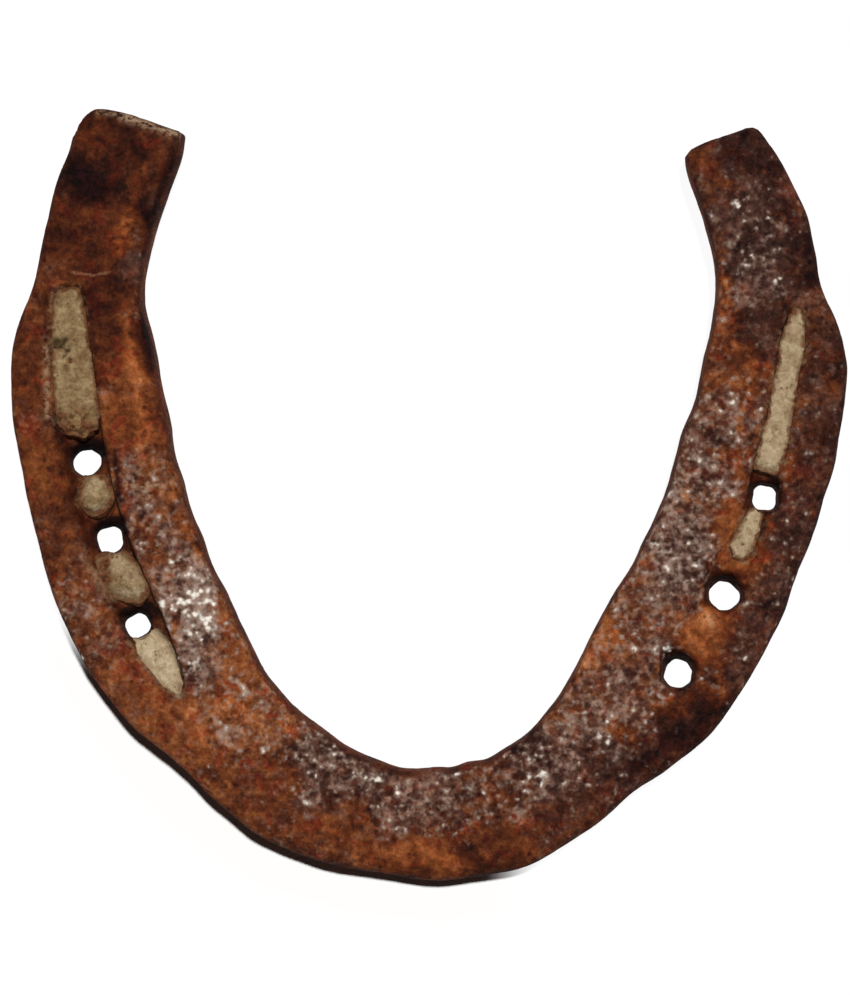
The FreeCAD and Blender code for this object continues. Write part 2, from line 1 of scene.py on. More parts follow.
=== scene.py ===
"""A worn, rusted horseshoe with dried soil packed in its two creases.

It lies flat, hoof side on z = 0 and ground surface up. The toe points to -y, the
heels and the opening to +y; the left branch is at -x. Metres in the scene; lengths
here are millimetres unless a name ends in _m.
"""
import math
from itertools import product
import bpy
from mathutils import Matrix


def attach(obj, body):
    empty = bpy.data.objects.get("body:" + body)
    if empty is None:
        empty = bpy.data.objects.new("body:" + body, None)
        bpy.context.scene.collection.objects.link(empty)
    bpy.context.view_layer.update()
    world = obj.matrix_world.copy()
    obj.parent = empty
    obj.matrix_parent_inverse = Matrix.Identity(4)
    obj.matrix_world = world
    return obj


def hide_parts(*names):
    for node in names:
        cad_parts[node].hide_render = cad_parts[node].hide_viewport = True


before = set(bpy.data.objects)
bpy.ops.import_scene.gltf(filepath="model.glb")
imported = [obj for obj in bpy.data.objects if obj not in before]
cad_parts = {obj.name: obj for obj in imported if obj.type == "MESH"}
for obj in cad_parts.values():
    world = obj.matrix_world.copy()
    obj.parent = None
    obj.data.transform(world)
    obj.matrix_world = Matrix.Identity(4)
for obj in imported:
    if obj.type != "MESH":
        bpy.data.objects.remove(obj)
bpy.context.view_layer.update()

from types import SimpleNamespace

import bpy
import numpy as np
from mathutils import Matrix, Vector
from mathutils.kdtree import KDTree

MM = 0.001
BAR_VOXEL_m = 0.00036
SOIL_VOXEL_m = 0.00020

# ---------------------------------------------------------------------------
# Layout of the shoe, seen from above
# ---------------------------------------------------------------------------
# Centres of the six nail holes on the hoof side, left branch first
HOLES = [(-58.5, 5.4), (-54.7, -8.0), (-49.7, -22.5),
         (57.3, -0.6), (50.6, -17.1), (42.8, -30.3)]
# and at the ground surface
HOLES_TOP = [(-56.8, 5.35), (-52.9, -7.7), (-48.25, -22.05),
             (56.7, -0.6), (50.05, -16.9), (42.4, -29.85)]
# Middle lines of the two creases, heel to toe
CREASES = [[(-60.6, 35.2), (-60.2, 28.1), (-58.6, 11.3), (-56.6, 0.7),
            (-51.1, -14.8), (-44.7, -27.6), (-40.5, -35.3)],
           [(62.0, 32.0), (61.4, 24.4), (59.7, 14.7), (56.6, 1.2),
            (53.2, -8.6), (50.2, -14.8), (44.2, -26.4), (39.8, -34.0)]]
# Height of the ground surface along y: thin at the worn toe and at the heels
TOP_Y = [-66, -58, -48, -36, 0, 28, 48, 62, 66]
TOP_Z = [7.3, 7.55, 8.0, 8.4, 8.45, 8.4, 7.95, 7.65, 7.6]

# Rust grown over the right crease: x0, y0, x1, y1, radius, depth left unfilled
OVERGROWN = [(49.0, -20.0, 45.0, -25.4, 3.3, 0), (43.6, -33.2, 40.0, -35.2, 2.2, 0),
             (52.6, -12.3, 51.0, -12.9, 2.5, 0.5), (53.7, -2.0, 51.3, -7.6, 0.9, 0.5),
             (51.3, -7.6, 48.6, -11.0, 1.1, 0.5), (48.6, -11.0, 46.8, -15.2, 1.2, 0.5)]
# Scale in the nail seats: number in HOLES_TOP, inner radius, 1 if clear toe-side
CHOKED_SEATS = [(4, 2.65, 0), (5, 2.40, 0), (3, 2.35, 1)]
# Lumps of scale on the right branch: x, y, radius, height
SCALE_LUMPS = [(48.2, -20.3, 2.3, 0.40), (45.4, -24.6, 2.0, 0.35),
               (49.0, -27.0, 1.8, 0.22)]

# Areas of the iron: x, y, reach, tone, how orange, how speckled
ZONES = [
    # left heel: end, blue-black patch, sides, streak, bevel, painted grey sheen
    (-51.7, 59.8, 6.7, 0.28, 0.85, 0.02), (-57.1, 53.1, 3.7, 0.08, 0.7, 0),
    (-59.8, 43.8, 5.4, 0.33, 0.9, 0.02), (-54.7, 42.9, 5, 0.39, 0.9, 0.03),
    (-50, 43.8, 3.4, 0.44, 0.85, 0.05), (-45.4, 51.3, 3.4, 0.27, 0.7, 0.06),
    (-47.6, 39.2, 3, 0.4, 0.45, 0.2),
    # left shoulder, waist and upper branch
    (-63.2, 34.5, 4.2, 0.47, 0.85, 0.1), (-66.6, 21, 5, 0.42, 0.88, 0.08),
    (-54.7, 34.5, 3.7, 0.34, 0.88, 0.05), (-53.4, 24.4, 3.7, 0.43, 0.92, 0.05),
    (-49.4, 22.7, 2.7, 0.56, 0.98, 0.02), (-46.2, 26, 2.7, 0.26, 0.85, 0.02),
    (-43.7, 12.6, 3.4, 0.46, 0.9, 0.08), (-50.5, 11.7, 3.7, 0.54, 0.98, 0.04),
    # left branch beside the nail holes, with two white clusters
    (-65.8, 4.1, 4.7, 0.53, 0.92, 0.04), (-61.5, -7.7, 4.7, 0.48, 0.75, 0.15),
    (-59.8, -1.8, 3, 0.4, 0.85, 0.03), (-47.1, 4.1, 4.4, 0.52, 0.7, 0.3),
    (-41.1, -0.9, 3.7, 0.56, 0.72, 0.28), (-44.9, -7.7, 4, 0.54, 0.64, 0.41),
    (-56.4, -21.2, 5, 0.52, 0.64, 0.38), (-38.6, -16.1, 4.4, 0.58, 0.4, 0.9),
    (-33.5, -17.7, 3, 0.58, 0.85, 0.15), (-38.6, -27, 4, 0.52, 0.45, 0.8),
    (-31, -27.8, 4, 0.6, 0.82, 0.2), (-49.6, -32.9, 5, 0.54, 0.78, 0.15),
    # left toe quarter
    (-41.1, -41.3, 5.7, 0.58, 0.82, 0.15), (-30.1, -37.9, 6.4, 0.63, 0.78, 0.45),
    (-22.5, -32.8, 4, 0.62, 0.72, 0.4),
    # toe, with an orange band along its outer edge
    (-28.4, -49.7, 5.7, 0.51, 0.8, 0.18), (-15, -44.6, 6.4, 0.42, 0.42, 0.67),
    (-17.5, -38.7, 3.4, 0.55, 0.62, 0.5), (-14.1, -56.3, 4.4, 0.48, 0.8, 0.15),
    (-0.7, -52, 6, 0.42, 0.45, 0.6), (0.2, -47, 2.7, 0.56, 0.38, 0.68),
    (-0.7, -60.9, 4.4, 0.49, 0.98, 0.02), (12.7, -59.5, 4.4, 0.4, 0.92, 0.08),
    (12.7, -49.4, 5.7, 0.46, 0.6, 0.5), (21.1, -44.4, 6, 0.4, 0.4, 0.73),
    (24.4, -54.4, 4.7, 0.38, 0.65, 0.22), (22.8, -36, 3.7, 0.54, 0.63, 0.45),
    # right toe quarter, dark on the outside
    (34.4, -45.1, 5.7, 0.28, 0.55, 0.28), (44.4, -39.2, 4.4, 0.2, 0.65, 0.12),
    (32.8, -34.3, 5.7, 0.5, 0.5, 0.64), (29.1, -26, 4, 0.64, 0.8, 0.35),
    # right speckle fields
    (36.1, -19.3, 4.4, 0.54, 0.6, 0.55), (41.9, -10.9, 5, 0.47, 0.32, 0.9),
    (44.4, 0.8, 5, 0.52, 0.5, 0.81), (36.1, -10.9, 2.7, 0.55, 0.6, 0.55),
    # right branch beside the nail holes: orange scale, then the outer side
    (48.4, -24.2, 3, 0.52, 0.9, 0.08), (53.5, -25.9, 4, 0.33, 0.5, 0.32),
    (60.9, -15.9, 4.4, 0.3, 0.45, 0.38), (56.8, -24.2, 3.4, 0.3, 0.45, 0.25),
    (62.6, -4.2, 4.4, 0.29, 0.48, 0.3), (50.7, -4.2, 2.3, 0.5, 0.88, 0.15),
    (53.5, -10.1, 2.7, 0.48, 0.92, 0.08),
    # right shoulder, land and waist
    (67.2, 9.1, 4, 0.3, 0.5, 0.22), (66.7, 22.4, 4.4, 0.33, 0.65, 0.18),
    (49.4, 12.4, 4.7, 0.52, 0.58, 0.5), (51, 20.7, 4.4, 0.51, 0.8, 0.25),
    (56, 27.4, 3.7, 0.31, 0.48, 0.22), (49.4, 32.4, 3.4, 0.49, 0.58, 0.3),
    # right heel
    (56.8, 39, 4.7, 0.29, 0.14, 0.5), (53.5, 46.5, 4.4, 0.31, 0.28, 0.32),
    (62.6, 39, 3.4, 0.22, 0.62, 0.1), (48.5, 50.7, 3, 0.39, 0.53, 0.17),
    (54.3, 57.3, 4.4, 0.24, 0.48, 0.2), (46.9, 55.7, 2.7, 0.36, 0.72, 0.12),
    # right blister
    (46.5, -20.9, 1, 0.66, 0.95, 0.05),
]

# Marks on the ground surface by colour, in channel order:
# x0, y0, x1, y1, radius, strength
MARKS = {
    "dark": [
        (44.4, -17.2, 45.7, -19.6, 0.67, 0.35), (50, -21.2, 50.7, -24.2, 0.84, 0.35),
        (-58.1, 54.8, -56.1, 51, 1.59, 0.85), (-50, 61.1, -46.9, 57, 1.34, 0.45),
        (-53.7, 51.4, -50.6, 51.7, 0.84, 0.3), (-47.6, 49.3, -46.2, 44.6, 1.01, 0.6),
        (-42.8, 58, -46.2, 47.1, 0.59, 0.45), (-59.1, 44.3, -58.5, 41.9, 1.01, 0.25),
        (-54, 37.5, -52, 34.8, 1.17, 0.3), (-55.4, 32.8, -52.7, 25.2, 1.51, 0.35),
        (-47.2, 29.8, -46.6, 21, 1.17, 0.6), (-56.1, 32.8, -55.1, 12.6, 0.67, 0.25),
        (-64.2, 32.9, -63.6, 26.1, 0.67, 0.35), (-50.3, 9.2, -48.9, 7.8, 1.01, 0.3),
        (61.3, 48.3, 62.3, 45.6, 1.34, 0.5), (-9.1, -46.9, -6.7, -48.5, 1.17, 0.35),
        (-38.1, -29.5, -38.1, -31.6, 1.17, 0.3), (7.7, -52.5, 11.1, -55.8, 1.34, 0.3),
        (60.3, 48.2, 61.6, 42.3, 1.51, 0.6), (-62.5, 12.9, -61.9, 9.2, 0.84, 0.6),
        (58.6, 34.9, 60.3, 31.5, 1.17, 0.5), (-9.1, -46.5, -7, -48.5, 1.01, 0.4),
        (37.7, -12.3, 40.1, -14.6, 1.17, 0.35), (-36.9, -28.7, -35.7, -30.5, 1.17, 0.4),
        (-34, -42.6, -30, -44.6, 1.68, 0.25), (-18.3, -48.8, -15.8, -51.3, 1.34, 0.25),
        (6.4, -58.2, 9.1, -61.5, 1.34, 0.35), (15.1, -42.4, 16.4, -43, 1.01, 0.5),
        (18.8, -40.4, 19.8, -41.4, 1.01, 0.5), (34.4, -46, 41.4, -41.3, 1.68, 0.55),
        (42.7, -40.1, 51.8, -34.2, 1.68, 0.45), (47, 11.1, 49.4, 9.1, 1.34, 0.45),
        (68.5, 27.3, 70.2, 12.4, 0.84, 0.3), (56.3, 54, 59.3, 48.2, 1.51, 0.35),
        (63.3, 46.5, 64.9, 34, 1.17, 0.4), (46, 49.1, 48, 40.7, 0.5, 0.35),
        # the rest of these dark marks are painted shadow along the left crease's inner
        # wall, and painted shade beside and on the heel side of the nail holes
        (-52.3, 7.5, -51.3, -0.9, 0.54, 0.7), (-51.3, -4.3, -47.9, -13.6, 0.54, 0.7),
        (-45.5, -19.4, -41.5, -29.2, 0.5, 0.2), (-61.2, 9.9, -56.4, 9.2, 1.17, 0.55),
        (-60.5, 7.5, -58.8, 2.5, 1.01, 0.35), (-57.4, -4.3, -55.4, -7.7, 1.01, 0.25),
        (-52.7, -18.8, -48.3, -18.1, 0.84, 0.45), (40.1, -25.6, 44.1, -26.2, 0.84, 0.4),
        (47, -12.9, 53.5, -13.6, 0.84, 0.5), (54.7, 2.8, 58.6, 2.4, 0.67, 0.4)],
    "orange": [
        (-45.9, 4.1, -46.2, -11, 1.34, 0.25), (-39.8, 2.5, -37.8, -11, 1.17, 0.35),
        (-44.9, -11, -46.2, -7.7, 0.84, 0.3), (-54.7, 63.2, -57.4, 59.8, 1.51, 0.35),
        (-47.6, 55, -49.3, 48.8, 1.01, 0.35), (-50, 48, -51.7, 41.2, 1.34, 0.55),
        (-44.9, 58, -43.9, 53, 0.84, 0.15), (-61.5, 48.7, -56.1, 47.3, 1.17, 0.18),
        (-50.6, 31.8, -49.4, 23, 1.01, 0.8), (-49.4, 23.4, -47.6, 19.3, 1.51, 0.9),
        (-48.3, 18.5, -46.9, 10.2, 1.51, 0.7), (-53, 16.8, -51.7, 10.9, 1.17, 0.4),
        (-43.5, -13.7, -41.6, -24.5, 1.01, 0.4), (30.1, -19.6, 32.4, -24.3, 1.01, 0.6),
        (56.6, -3.2, 58, -5.9, 0.84, 0.6), (-33, -21.4, -30.6, -25.3, 1.34, 0.45),
        (31.4, -38.6, 34.1, -40.6, 1.51, 0.8), (3, -55.5, 5.4, -57.8, 1.34, 0.45),
        (-46.2, -33.9, -43.5, -36.3, 1.51, 0.4), (-32.3, -34.6, -29.6, -37.2, 1.51, 0.9),
        (-40.8, -3.9, -39.1, -6.6, 1.34, 0.7), (-39.4, -36.3, -36.4, -43.3, 1.68, 0.35),
        (-32.7, -26.1, -30, -32.9, 1.34, 0.3), (-23.9, -44.9, -21.9, -46.9, 1.01, 0.4),
        (-16.1, -55.3, -14.1, -57.6, 1.17, 0.5), (9.1, -47.8, 11.4, -51.1, 1.51, 0.3),
        (-3.4, -58.9, 5.4, -62.2, 1.68, 0.6), (-10.7, -60, -4, -61.9, 1.51, 0.3),
        (26.8, -27.6, 29.1, -24.3, 1.17, 0.55), (36.1, -31.9, 39.1, -35.9, 1.34, 0.25),
        (46, -30.2, 48.7, -34.9, 1.17, 0.55), (47, -19.6, 49, -22.2, 1.51, 1),
        (44.4, -23.2, 46.7, -26.2, 1.17, 0.9), (48.7, -25.9, 49.7, -34.2, 1.01, 0.55),
        (51.5, -0.9, 52.3, -7.6, 0.84, 0.55), (49.4, -10.2, 53.7, -11.9, 1.01, 0.9),
        (54.7, 24.1, 54, 16.6, 1.17, 0.5), (53, 15.7, 52.3, 4.1, 0.84, 0.4),
        (60.9, 6.4, 60.3, 2.4, 0.84, 0.6), (49.7, 28.2, 51.7, 24.1, 1.34, 0.4),
        (47, 19.9, 54.3, 17.7, 1.34, 0.35), (48, 7.4, 53.7, 6.1, 1.01, 0.35),
        (67.6, 18.7, 68.5, 17, 0.84, 0.3), (49.7, 42.7, 50.4, 29.1, 1.01, 0.45),
        (49, 53, 50, 51.7, 1.01, 0.3)],
    "white": [
        (-48.9, 44.3, -48.3, 40.2, 0.84, 0.25), (-50, 2.8, -43.2, 1.1, 0.67, 0.3),
        (-48.8, -0.9, -46.2, -3.4, 1.34, 0.45), (-44.5, -6, -42.5, -8.5, 1.01, 0.6),
        (-44.5, -13, -43.5, -17.8, 0.84, 0.5), (-38.1, -17.1, -37.1, -21.4, 2.01, 0.22),
        (-39.4, -20.8, -38.4, -22.1, 1.01, 1), (39.4, -26.6, 40.7, -27.9, 1.01, 0.8),
        (-39.4, -14, -38.8, -17.1, 1.17, 1), (-36.7, -16.4, -36.1, -17.7, 1.17, 1),
        (-38.4, -19.8, -36.7, -21.4, 1.34, 1), (-39.8, -18.4, -39.4, -19.8, 0.84, 0.9),
        (-35.7, -20.4, -35, -22.8, 0.84, 0.8), (-40.5, -22.5, -39.4, -23.8, 0.84, 0.8),
        (-39.1, -24.5, -38.9, -28.5, 1.01, 0.85), (-40.8, -17.8, -39.4, -21.8, 1.34, 1),
        (-40.1, -19.8, -39.6, -20.8, 1.01, 1), (-43.9, -18.1, -43, -22.5, 0.75, 0.85),
        (38.6, -24.3, 40.7, -26.3, 1.17, 0.75), (-39.4, -21.5, -37.8, -23.1, 1.01, 0.8),
        (1, -46.5, 5.4, -47.1, 0.84, 0.5), (-44.5, -7, -41.8, -9.7, 1.34, 0.35),
        (29.4, -40.1, 32.8, -43.5, 1.68, 0.75), (49, 57.4, 50.7, 55, 1.01, 0.7),
        (51.4, 40.7, 53, 38.4, 1.17, 0.35), (-33, -21.1, -30.6, -25.3, 1.34, 0.32),
        (-18.2, -40.9, -15.5, -43.6, 1.34, 0.6), (44.4, -5.6, 46.7, -8.2, 1.34, 0.6),
        (59, -6.2, 60.3, -8.9, 1.01, 0.32), (14.4, -44.7, 17.1, -47.1, 1.34, 0.32),
        (46, -11.9, 47, -15.6, 0.84, 0.7), (-43.7, -19.4, -43.2, -22.5, 0.67, 0.6),
        (-31.8, -30.9, -30.3, -32.9, 1.01, 0.4), (-34.7, -39.3, -31.7, -40.6, 1.17, 0.5),
        (-28.3, -34.5, -27.3, -35.5, 0.84, 0.4), (-19.8, -42.9, -15.8, -45.2, 1.34, 0.35),
        (-11.4, -46.5, -8.7, -48.5, 1.17, 0.35), (-21.2, -51.3, -19.2, -52, 0.84, 0.4),
        (-4, -49.5, -2, -51.2, 1.01, 0.2), (17.7, -43, 22.1, -49.4, 1.68, 0.3),
        (29.1, -35.3, 33.1, -44.3, 1.51, 0.35), (24.8, -37.3, 27.4, -39.7, 1.17, 0.4),
        (50.7, 16.4, 54, 11.7, 1.17, 0.4), (51.2, 10.1, 52.7, 8.9, 0.67, 0.9),
        (50, 1.8, 52, -0.6, 0.84, 0.5), (41.9, 0.1, 42.6, -0.9, 0.59, 1),
        (44.7, 13.6, 47, 11.7, 0.5, 0.4), (67.4, 21.7, 67.9, 19.7, 0.67, 0.3),
        (53, 40.7, 54.7, 38.7, 1.01, 0.25), (57.6, 41.3, 59.3, 35.7, 1.17, 0.3),
        (52, 49, 52.5, 48.4, 0.67, 0.4), (57.3, 46.3, 58, 45.7, 0.5, 0.5),
        (52, 33.1, 55.3, 32, 1.01, 0.4), (50.4, 56.4, 50.7, 55.4, 0.67, 0.4),
        (46.2, 53.9, 46.5, 53.4, 0.5, 0.3), (38.6, -0.9, 44.4, -7.6, 1.51, 0.25),
        (40.7, -10.2, 44.4, -14.2, 1.84, 0.35), (37.7, -16.9, 38.4, -18.3, 0.84, 0.5),
        (31.4, -24.3, 33.1, -25.9, 0.84, 0.3)],
    "pale": [
        (-63.9, 26.1, -63.6, 13.3, 0.54, 0.75), (-56.2, -12.6, -53.7, -15.8, 0.84, 0.6),
        (-50, 1.6, -46.9, 1.1, 0.37, 0.9), (-46.9, 1.1, -42.8, 1.9, 0.37, 0.9),
        (-46.6, 1.9, -46.2, -0.7, 0.4, 0.9), (-49.6, 4.8, -47.2, 3, 0.34, 0.6),
        (-46.2, 3.5, -43.9, 4.6, 0.34, 0.6), (-48.3, 0.1, -46.9, -1.4, 0.37, 0.5),
        (-46.2, -18.8, -45, -21.5, 0.92, 0.75), (47.4, -20.9, 48, -21.6, 0.67, 0.6),
        (-55.1, 64.5, -51.3, 64.3, 0.5, 0.6), (-51, 64, -40.8, 60.5, 0.84, 1)],
}

# Tints of the soil by kind, in channel order: x, y, radius, strength
SOIL_TINTS = {
    "brown": [
        (61.6, 30.7, 1.68, 0.75), (61.3, 26.7, 1.51, 0.3), (59.3, 22.1, 1.01, 0.3),
        (60.3, 4.1, 1.01, 0.5), (-55.8, -13.1, 1.68, 0.55), (-54.4, -16.1, 1.51, 0.6),
        (-55.3, -10.4, 1.17, 0.5), (-60.6, 10.9, 2.18, 0.75), (-56.5, 11.2, 1.84, 0.6),
        (-58.5, 13.9, 1.68, 0.35), (-61.6, 13.3, 1.17, 0.95), (-57.3, 11.4, 1.17, 0.85),
        (61, 22.7, 1.34, 0.35), (-61.3, 15.6, 1.17, 0.3), (-41.2, -32.6, 1.34, 0.6),
        (-61.6, 29.8, 1.01, 0.25), (-61.6, 34.2, 1.68, 0.3), (-57.5, 1.4, 1.01, 0.4),
        (-54.4, -12.1, 1.34, 0.95), (-53.8, -14.1, 1.51, 1), (-52.4, -16.1, 1.17, 0.4),
        (-55.1, -15.1, 1.51, 0.8), (-57.9, -2.3, 1.17, 0.3), (-53.6, -1.9, 1.01, 0.35),
        (-55.1, -12.1, 1.17, 0.7), (-51.4, -13.7, 0.67, 0.35), (-48.3, -25.4, 1.01, 0.35),
        (52.7, -10.2, 0.67, 0.5), (55.5, 4.4, 0.67, 0.5)],
    "dark": [
        (-59.6, 12.9, 1.34, 0.35), (-61.8, 12.9, 0.84, 0.85), (-62.1, 25.9, 1.17, 1),
        (-60.9, 26.1, 1.01, 0.95), (-61.4, 25.3, 0.92, 0.95), (-62.8, 25.6, 0.75, 0.7),
        (-60.4, 24.4, 0.92, 0.9), (-59.9, 25.3, 0.67, 0.6), (-60.9, 23.4, 0.67, 0.65),
        (-61.9, 24.6, 0.75, 0.65), (-54.1, -1.8, 1.01, 0.2), (-41.9, -29.2, 0.84, 0.3),
        (54, -5.9, 0.34, 0.9), (53.4, -8.6, 0.37, 0.9)],
    "warm": [
        (-51.7, -12.1, 1.51, 0.55), (-49.7, -13.9, 1.51, 0.6), (-48.2, -16.4, 1.34, 0.5),
        (-55.5, -2.4, 1.01, 0.5), (-55.8, 1.1, 1.51, 0.35), (-51, -17.1, 1.51, 0.8),
        (60.3, 15.4, 2.01, 0.5), (58, 7.4, 2.35, 0.5)],
    "crumb": [(-58.9, 11.4, 2.68, 0.9)],
}


# ---------------------------------------------------------------------------
# Seeded noise and falloffs on arrays of points
# ---------------------------------------------------------------------------
def hashed(cell, seed):
    """A 32-bit number for each row of whole-number cell coordinates."""
    mask = np.int64(0xFFFFFFFF)
    code = ((cell[:, 0] * 73856093) ^ (cell[:, 1] * 19349663) ^ (cell[:, 2] * 83492791)
            ^ np.int64(seed * 2654435761 % 4294967296)) & mask
    code = ((code ^ (code >> 16)) * 0x7FEB352D) & mask
    code = ((code ^ (code >> 15)) * 0x846CA68B) & mask
    return code ^ (code >> 16)


def three_fields(code):
    """Three 10-bit numbers out of each code, one per axis."""
    return np.stack([code >> shift & 1023 for shift in (0, 10, 20)], 1)


def byte(code, shift):
    """Eight bits of each code as 0 to 1."""
    return (code >> shift & 255) / 255.0


def gnoise(points, seed):
    """Gradient noise, about -1 to 1."""
    cell = np.floor(points).astype(np.int64)
    part = points - cell
    weight = part * part * part * (part * (part * 6 - 15) + 10)
    total = np.zeros(len(points))
    for corner in product((0, 1), repeat=3):
        slope = three_fields(hashed(cell + corner, seed)) / 511.5 - 1
        share = np.where(corner, weight, 1 - weight).prod(1)
        total += (slope * (part - corner)).sum(1) * share
    return total * 1.4


def fbm(points, seed, octaves=3):
    """Layered gradient noise."""
    gain, scale, total, gains = 1.0, 1.0, np.zeros(len(points)), 0.0
    for k in range(octaves):
        total += gain * gnoise(points * scale + 17.3 * k, seed + k)
        gains += gain
        gain *= 0.55
        scale *= 2.03
    return total / gains


def noise_vectors(noise, points, *seeds):
    return np.stack([noise(points, seed) for seed in seeds], 1)


def cells(points, seed):
    """Distances to the two nearest jittered cell points, and the nearest's number."""
    base = np.floor(points).astype(np.int64)
    first = np.full(len(points), 9.0)
    second = np.full(len(points), 9.0)
    who = np.zeros(len(points), np.int64)
    for step in product((-1, 0, 1), repeat=3):
        cell = base + step
        centre = cell + three_fields(hashed(cell, seed)) / 1023.0
        dist = np.sqrt(((points - centre) ** 2).sum(1))
        near = dist < first
        second = np.where(near, first, np.minimum(second, dist))
        who = np.where(near, hashed(cell, seed + 77), who)
        first = np.where(near, dist, first)
    return first, second, who


def ease(x, low, high):
    """Smooth step from 0 at low to 1 at high."""
    t = np.clip((x - low) / (high - low), 0.0, 1.0)
    return t * t * (3 - 2 * t)


def fade(x, near, far):
    """Smooth step from 1 at near down to 0 at far."""
    return ease(-x, -far, -near)


def dome_of(ratio):
    """1 at the middle, 0 from ratio 1 outward."""
    return np.clip(1 - ratio ** 2, 0, 1)


def capsule(points, x0, y0, x1, y1):
    """Plan distance to a segment, and how far along it, 0 to 1."""
    span = np.array([x1 - x0, y1 - y0], float)
    offset = points[:, :2] - np.array([x0, y0])
    t = np.clip((offset @ span) / max(span @ span, 1e-9), 0, 1)
    return np.sqrt(((offset - t[:, None] * span) ** 2).sum(1)), t


def around(points, hole):
    """Plan offset and distance from a nail hole's centre."""
    dx, dy = points[:, 0] - hole[0], points[:, 1] - hole[1]
    return dx, dy, np.maximum(np.hypot(dx, dy), 0.1)


def nearest_hole(points):
    return np.min([around(points, hole)[2] for hole in HOLES_TOP], axis=0)


def nearest_crease(points):
    return np.min([capsule(points, *start, *end)[0] for path in CREASES
                   for start, end in zip(path[:-1], path[1:])], axis=0)


# ---------------------------------------------------------------------------
# Mesh helpers
# ---------------------------------------------------------------------------
def remeshed(node, name, voxel_m):
    """A voxel remesh of a CAD piece, as a new object."""
    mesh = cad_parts[node].data.copy()
    rough = bpy.data.objects.new(name + "_tmp", mesh)
    bpy.context.scene.collection.objects.link(rough)
    remesh = rough.modifiers.new("voxel", "REMESH")
    remesh.mode = "VOXEL"
    remesh.voxel_size = voxel_m
    depsgraph = bpy.context.evaluated_depsgraph_get()
    fine = bpy.data.meshes.new_from_object(rough.evaluated_get(depsgraph))
    fine.name = name
    bpy.data.objects.remove(rough)
    bpy.data.meshes.remove(mesh)
    fine.materials.clear()
    return add_object(name, fine)


def add_object(name, data):
    thing = bpy.data.objects.new(name, data)
    bpy.context.scene.collection.objects.link(thing)
    return thing


def read_vectors(mesh, what):
    flat = np.empty(len(mesh.vertices) * 3, np.float32)
    mesh.vertices.foreach_get(what, flat)
    return flat.reshape(-1, 3).astype(float)


def coords(mesh):
    return read_vectors(mesh, "co") / MM


def put(mesh, points):
    mesh.vertices.foreach_set("co", (points * MM).astype(np.float32).ravel())
    mesh.update()


def edges_of(mesh):
    ends = np.empty(len(mesh.edges) * 2, np.int32)
    mesh.edges.foreach_get("vertices", ends)
    return ends.reshape(-1, 2)


def neighbour_mean(values, edges):
    """Mean of each vertex's neighbours, column by column."""
    count = len(values)
    a, b = edges.T
    degree = np.maximum(np.bincount(edges.ravel(), minlength=count), 1)
    return np.stack([(np.bincount(a, column[b], count)
                      + np.bincount(b, column[a], count)) / degree
                     for column in values.T], 1)


def soft_normals(mesh, edges, times):
    normals = read_vectors(mesh, "normal")
    for _ in range(times):
        normals = 0.5 * normals + 0.5 * neighbour_mean(normals, edges)
    return normals / np.maximum(np.sqrt((normals ** 2).sum(1))[:, None], 1e-9)


def tree_of(points):
    tree = KDTree(len(points))
    for k, point in enumerate(points):
        tree.insert(point, k)
    tree.balance()
    return tree


def gaps_to(tree, points, chosen):
    """Distance to the tree's nearest point for the chosen points, 0 elsewhere."""
    gaps = np.zeros(len(points))
    for k in np.nonzero(chosen)[0]:
        gaps[k] = tree.find(points[k])[2]
    return gaps


def paint(mesh, name, rgba):
    layer = mesh.attributes.new(name, "FLOAT_COLOR", "POINT")
    layer.data.foreach_set("color", rgba.astype(np.float32).ravel())


def shade_smooth(mesh):
    mesh.polygons.foreach_set("use_smooth", np.ones(len(mesh.polygons), bool))
    mesh.update()


def register(piece, material, node):
    piece.data.materials.append(material)
    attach(piece, "root")
    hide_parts(node)
    return piece


# ---------------------------------------------------------------------------
# The iron bar
# ---------------------------------------------------------------------------
def zone_fields(points):
    """Tone, orangeness and speckle at each point, blended from ZONES."""
    warp = noise_vectors(fbm, points / 5.0, 301, 302) * 1.6
    warp += noise_vectors(fbm, points / 1.8, 303, 304) * 0.6
    plan = points[:, :2] + warp
    # a faint background value keeps far points defined
    weights = np.full(len(points), 0.02)
    total = np.zeros((len(points), 3)) + 0.02 * np.array([0.45, 0.7, 0.3])
    for x, y, reach, *look in ZONES:
        square = (plan[:, 0] - x) ** 2 + (plan[:, 1] - y) ** 2
        weight = np.exp(-square / (0.55 * reach * reach)) / (reach * 0.2)
        weights += weight
        total += weight[:, None] * np.array(look)
    return total / weights[:, None]


def mark_fields(points):
    """Dark, orange, white and pale marks, one column each."""
    marks = np.zeros((len(points), 4))
    warp = noise_vectors(fbm, points / 2.2, 311, 312)
    for k, rows in enumerate(MARKS.values()):
        for x0, y0, x1, y1, radius, strength in rows:
            plan = points[:, :2] + warp * min(0.9, 0.45 * radius)
            dist, _ = capsule(plan, x0, y0, x1, y1)
            mark = strength * np.exp(-(dist / radius) ** 2 * 1.1)
            marks[:, k] = np.maximum(marks[:, k], mark)
    return marks


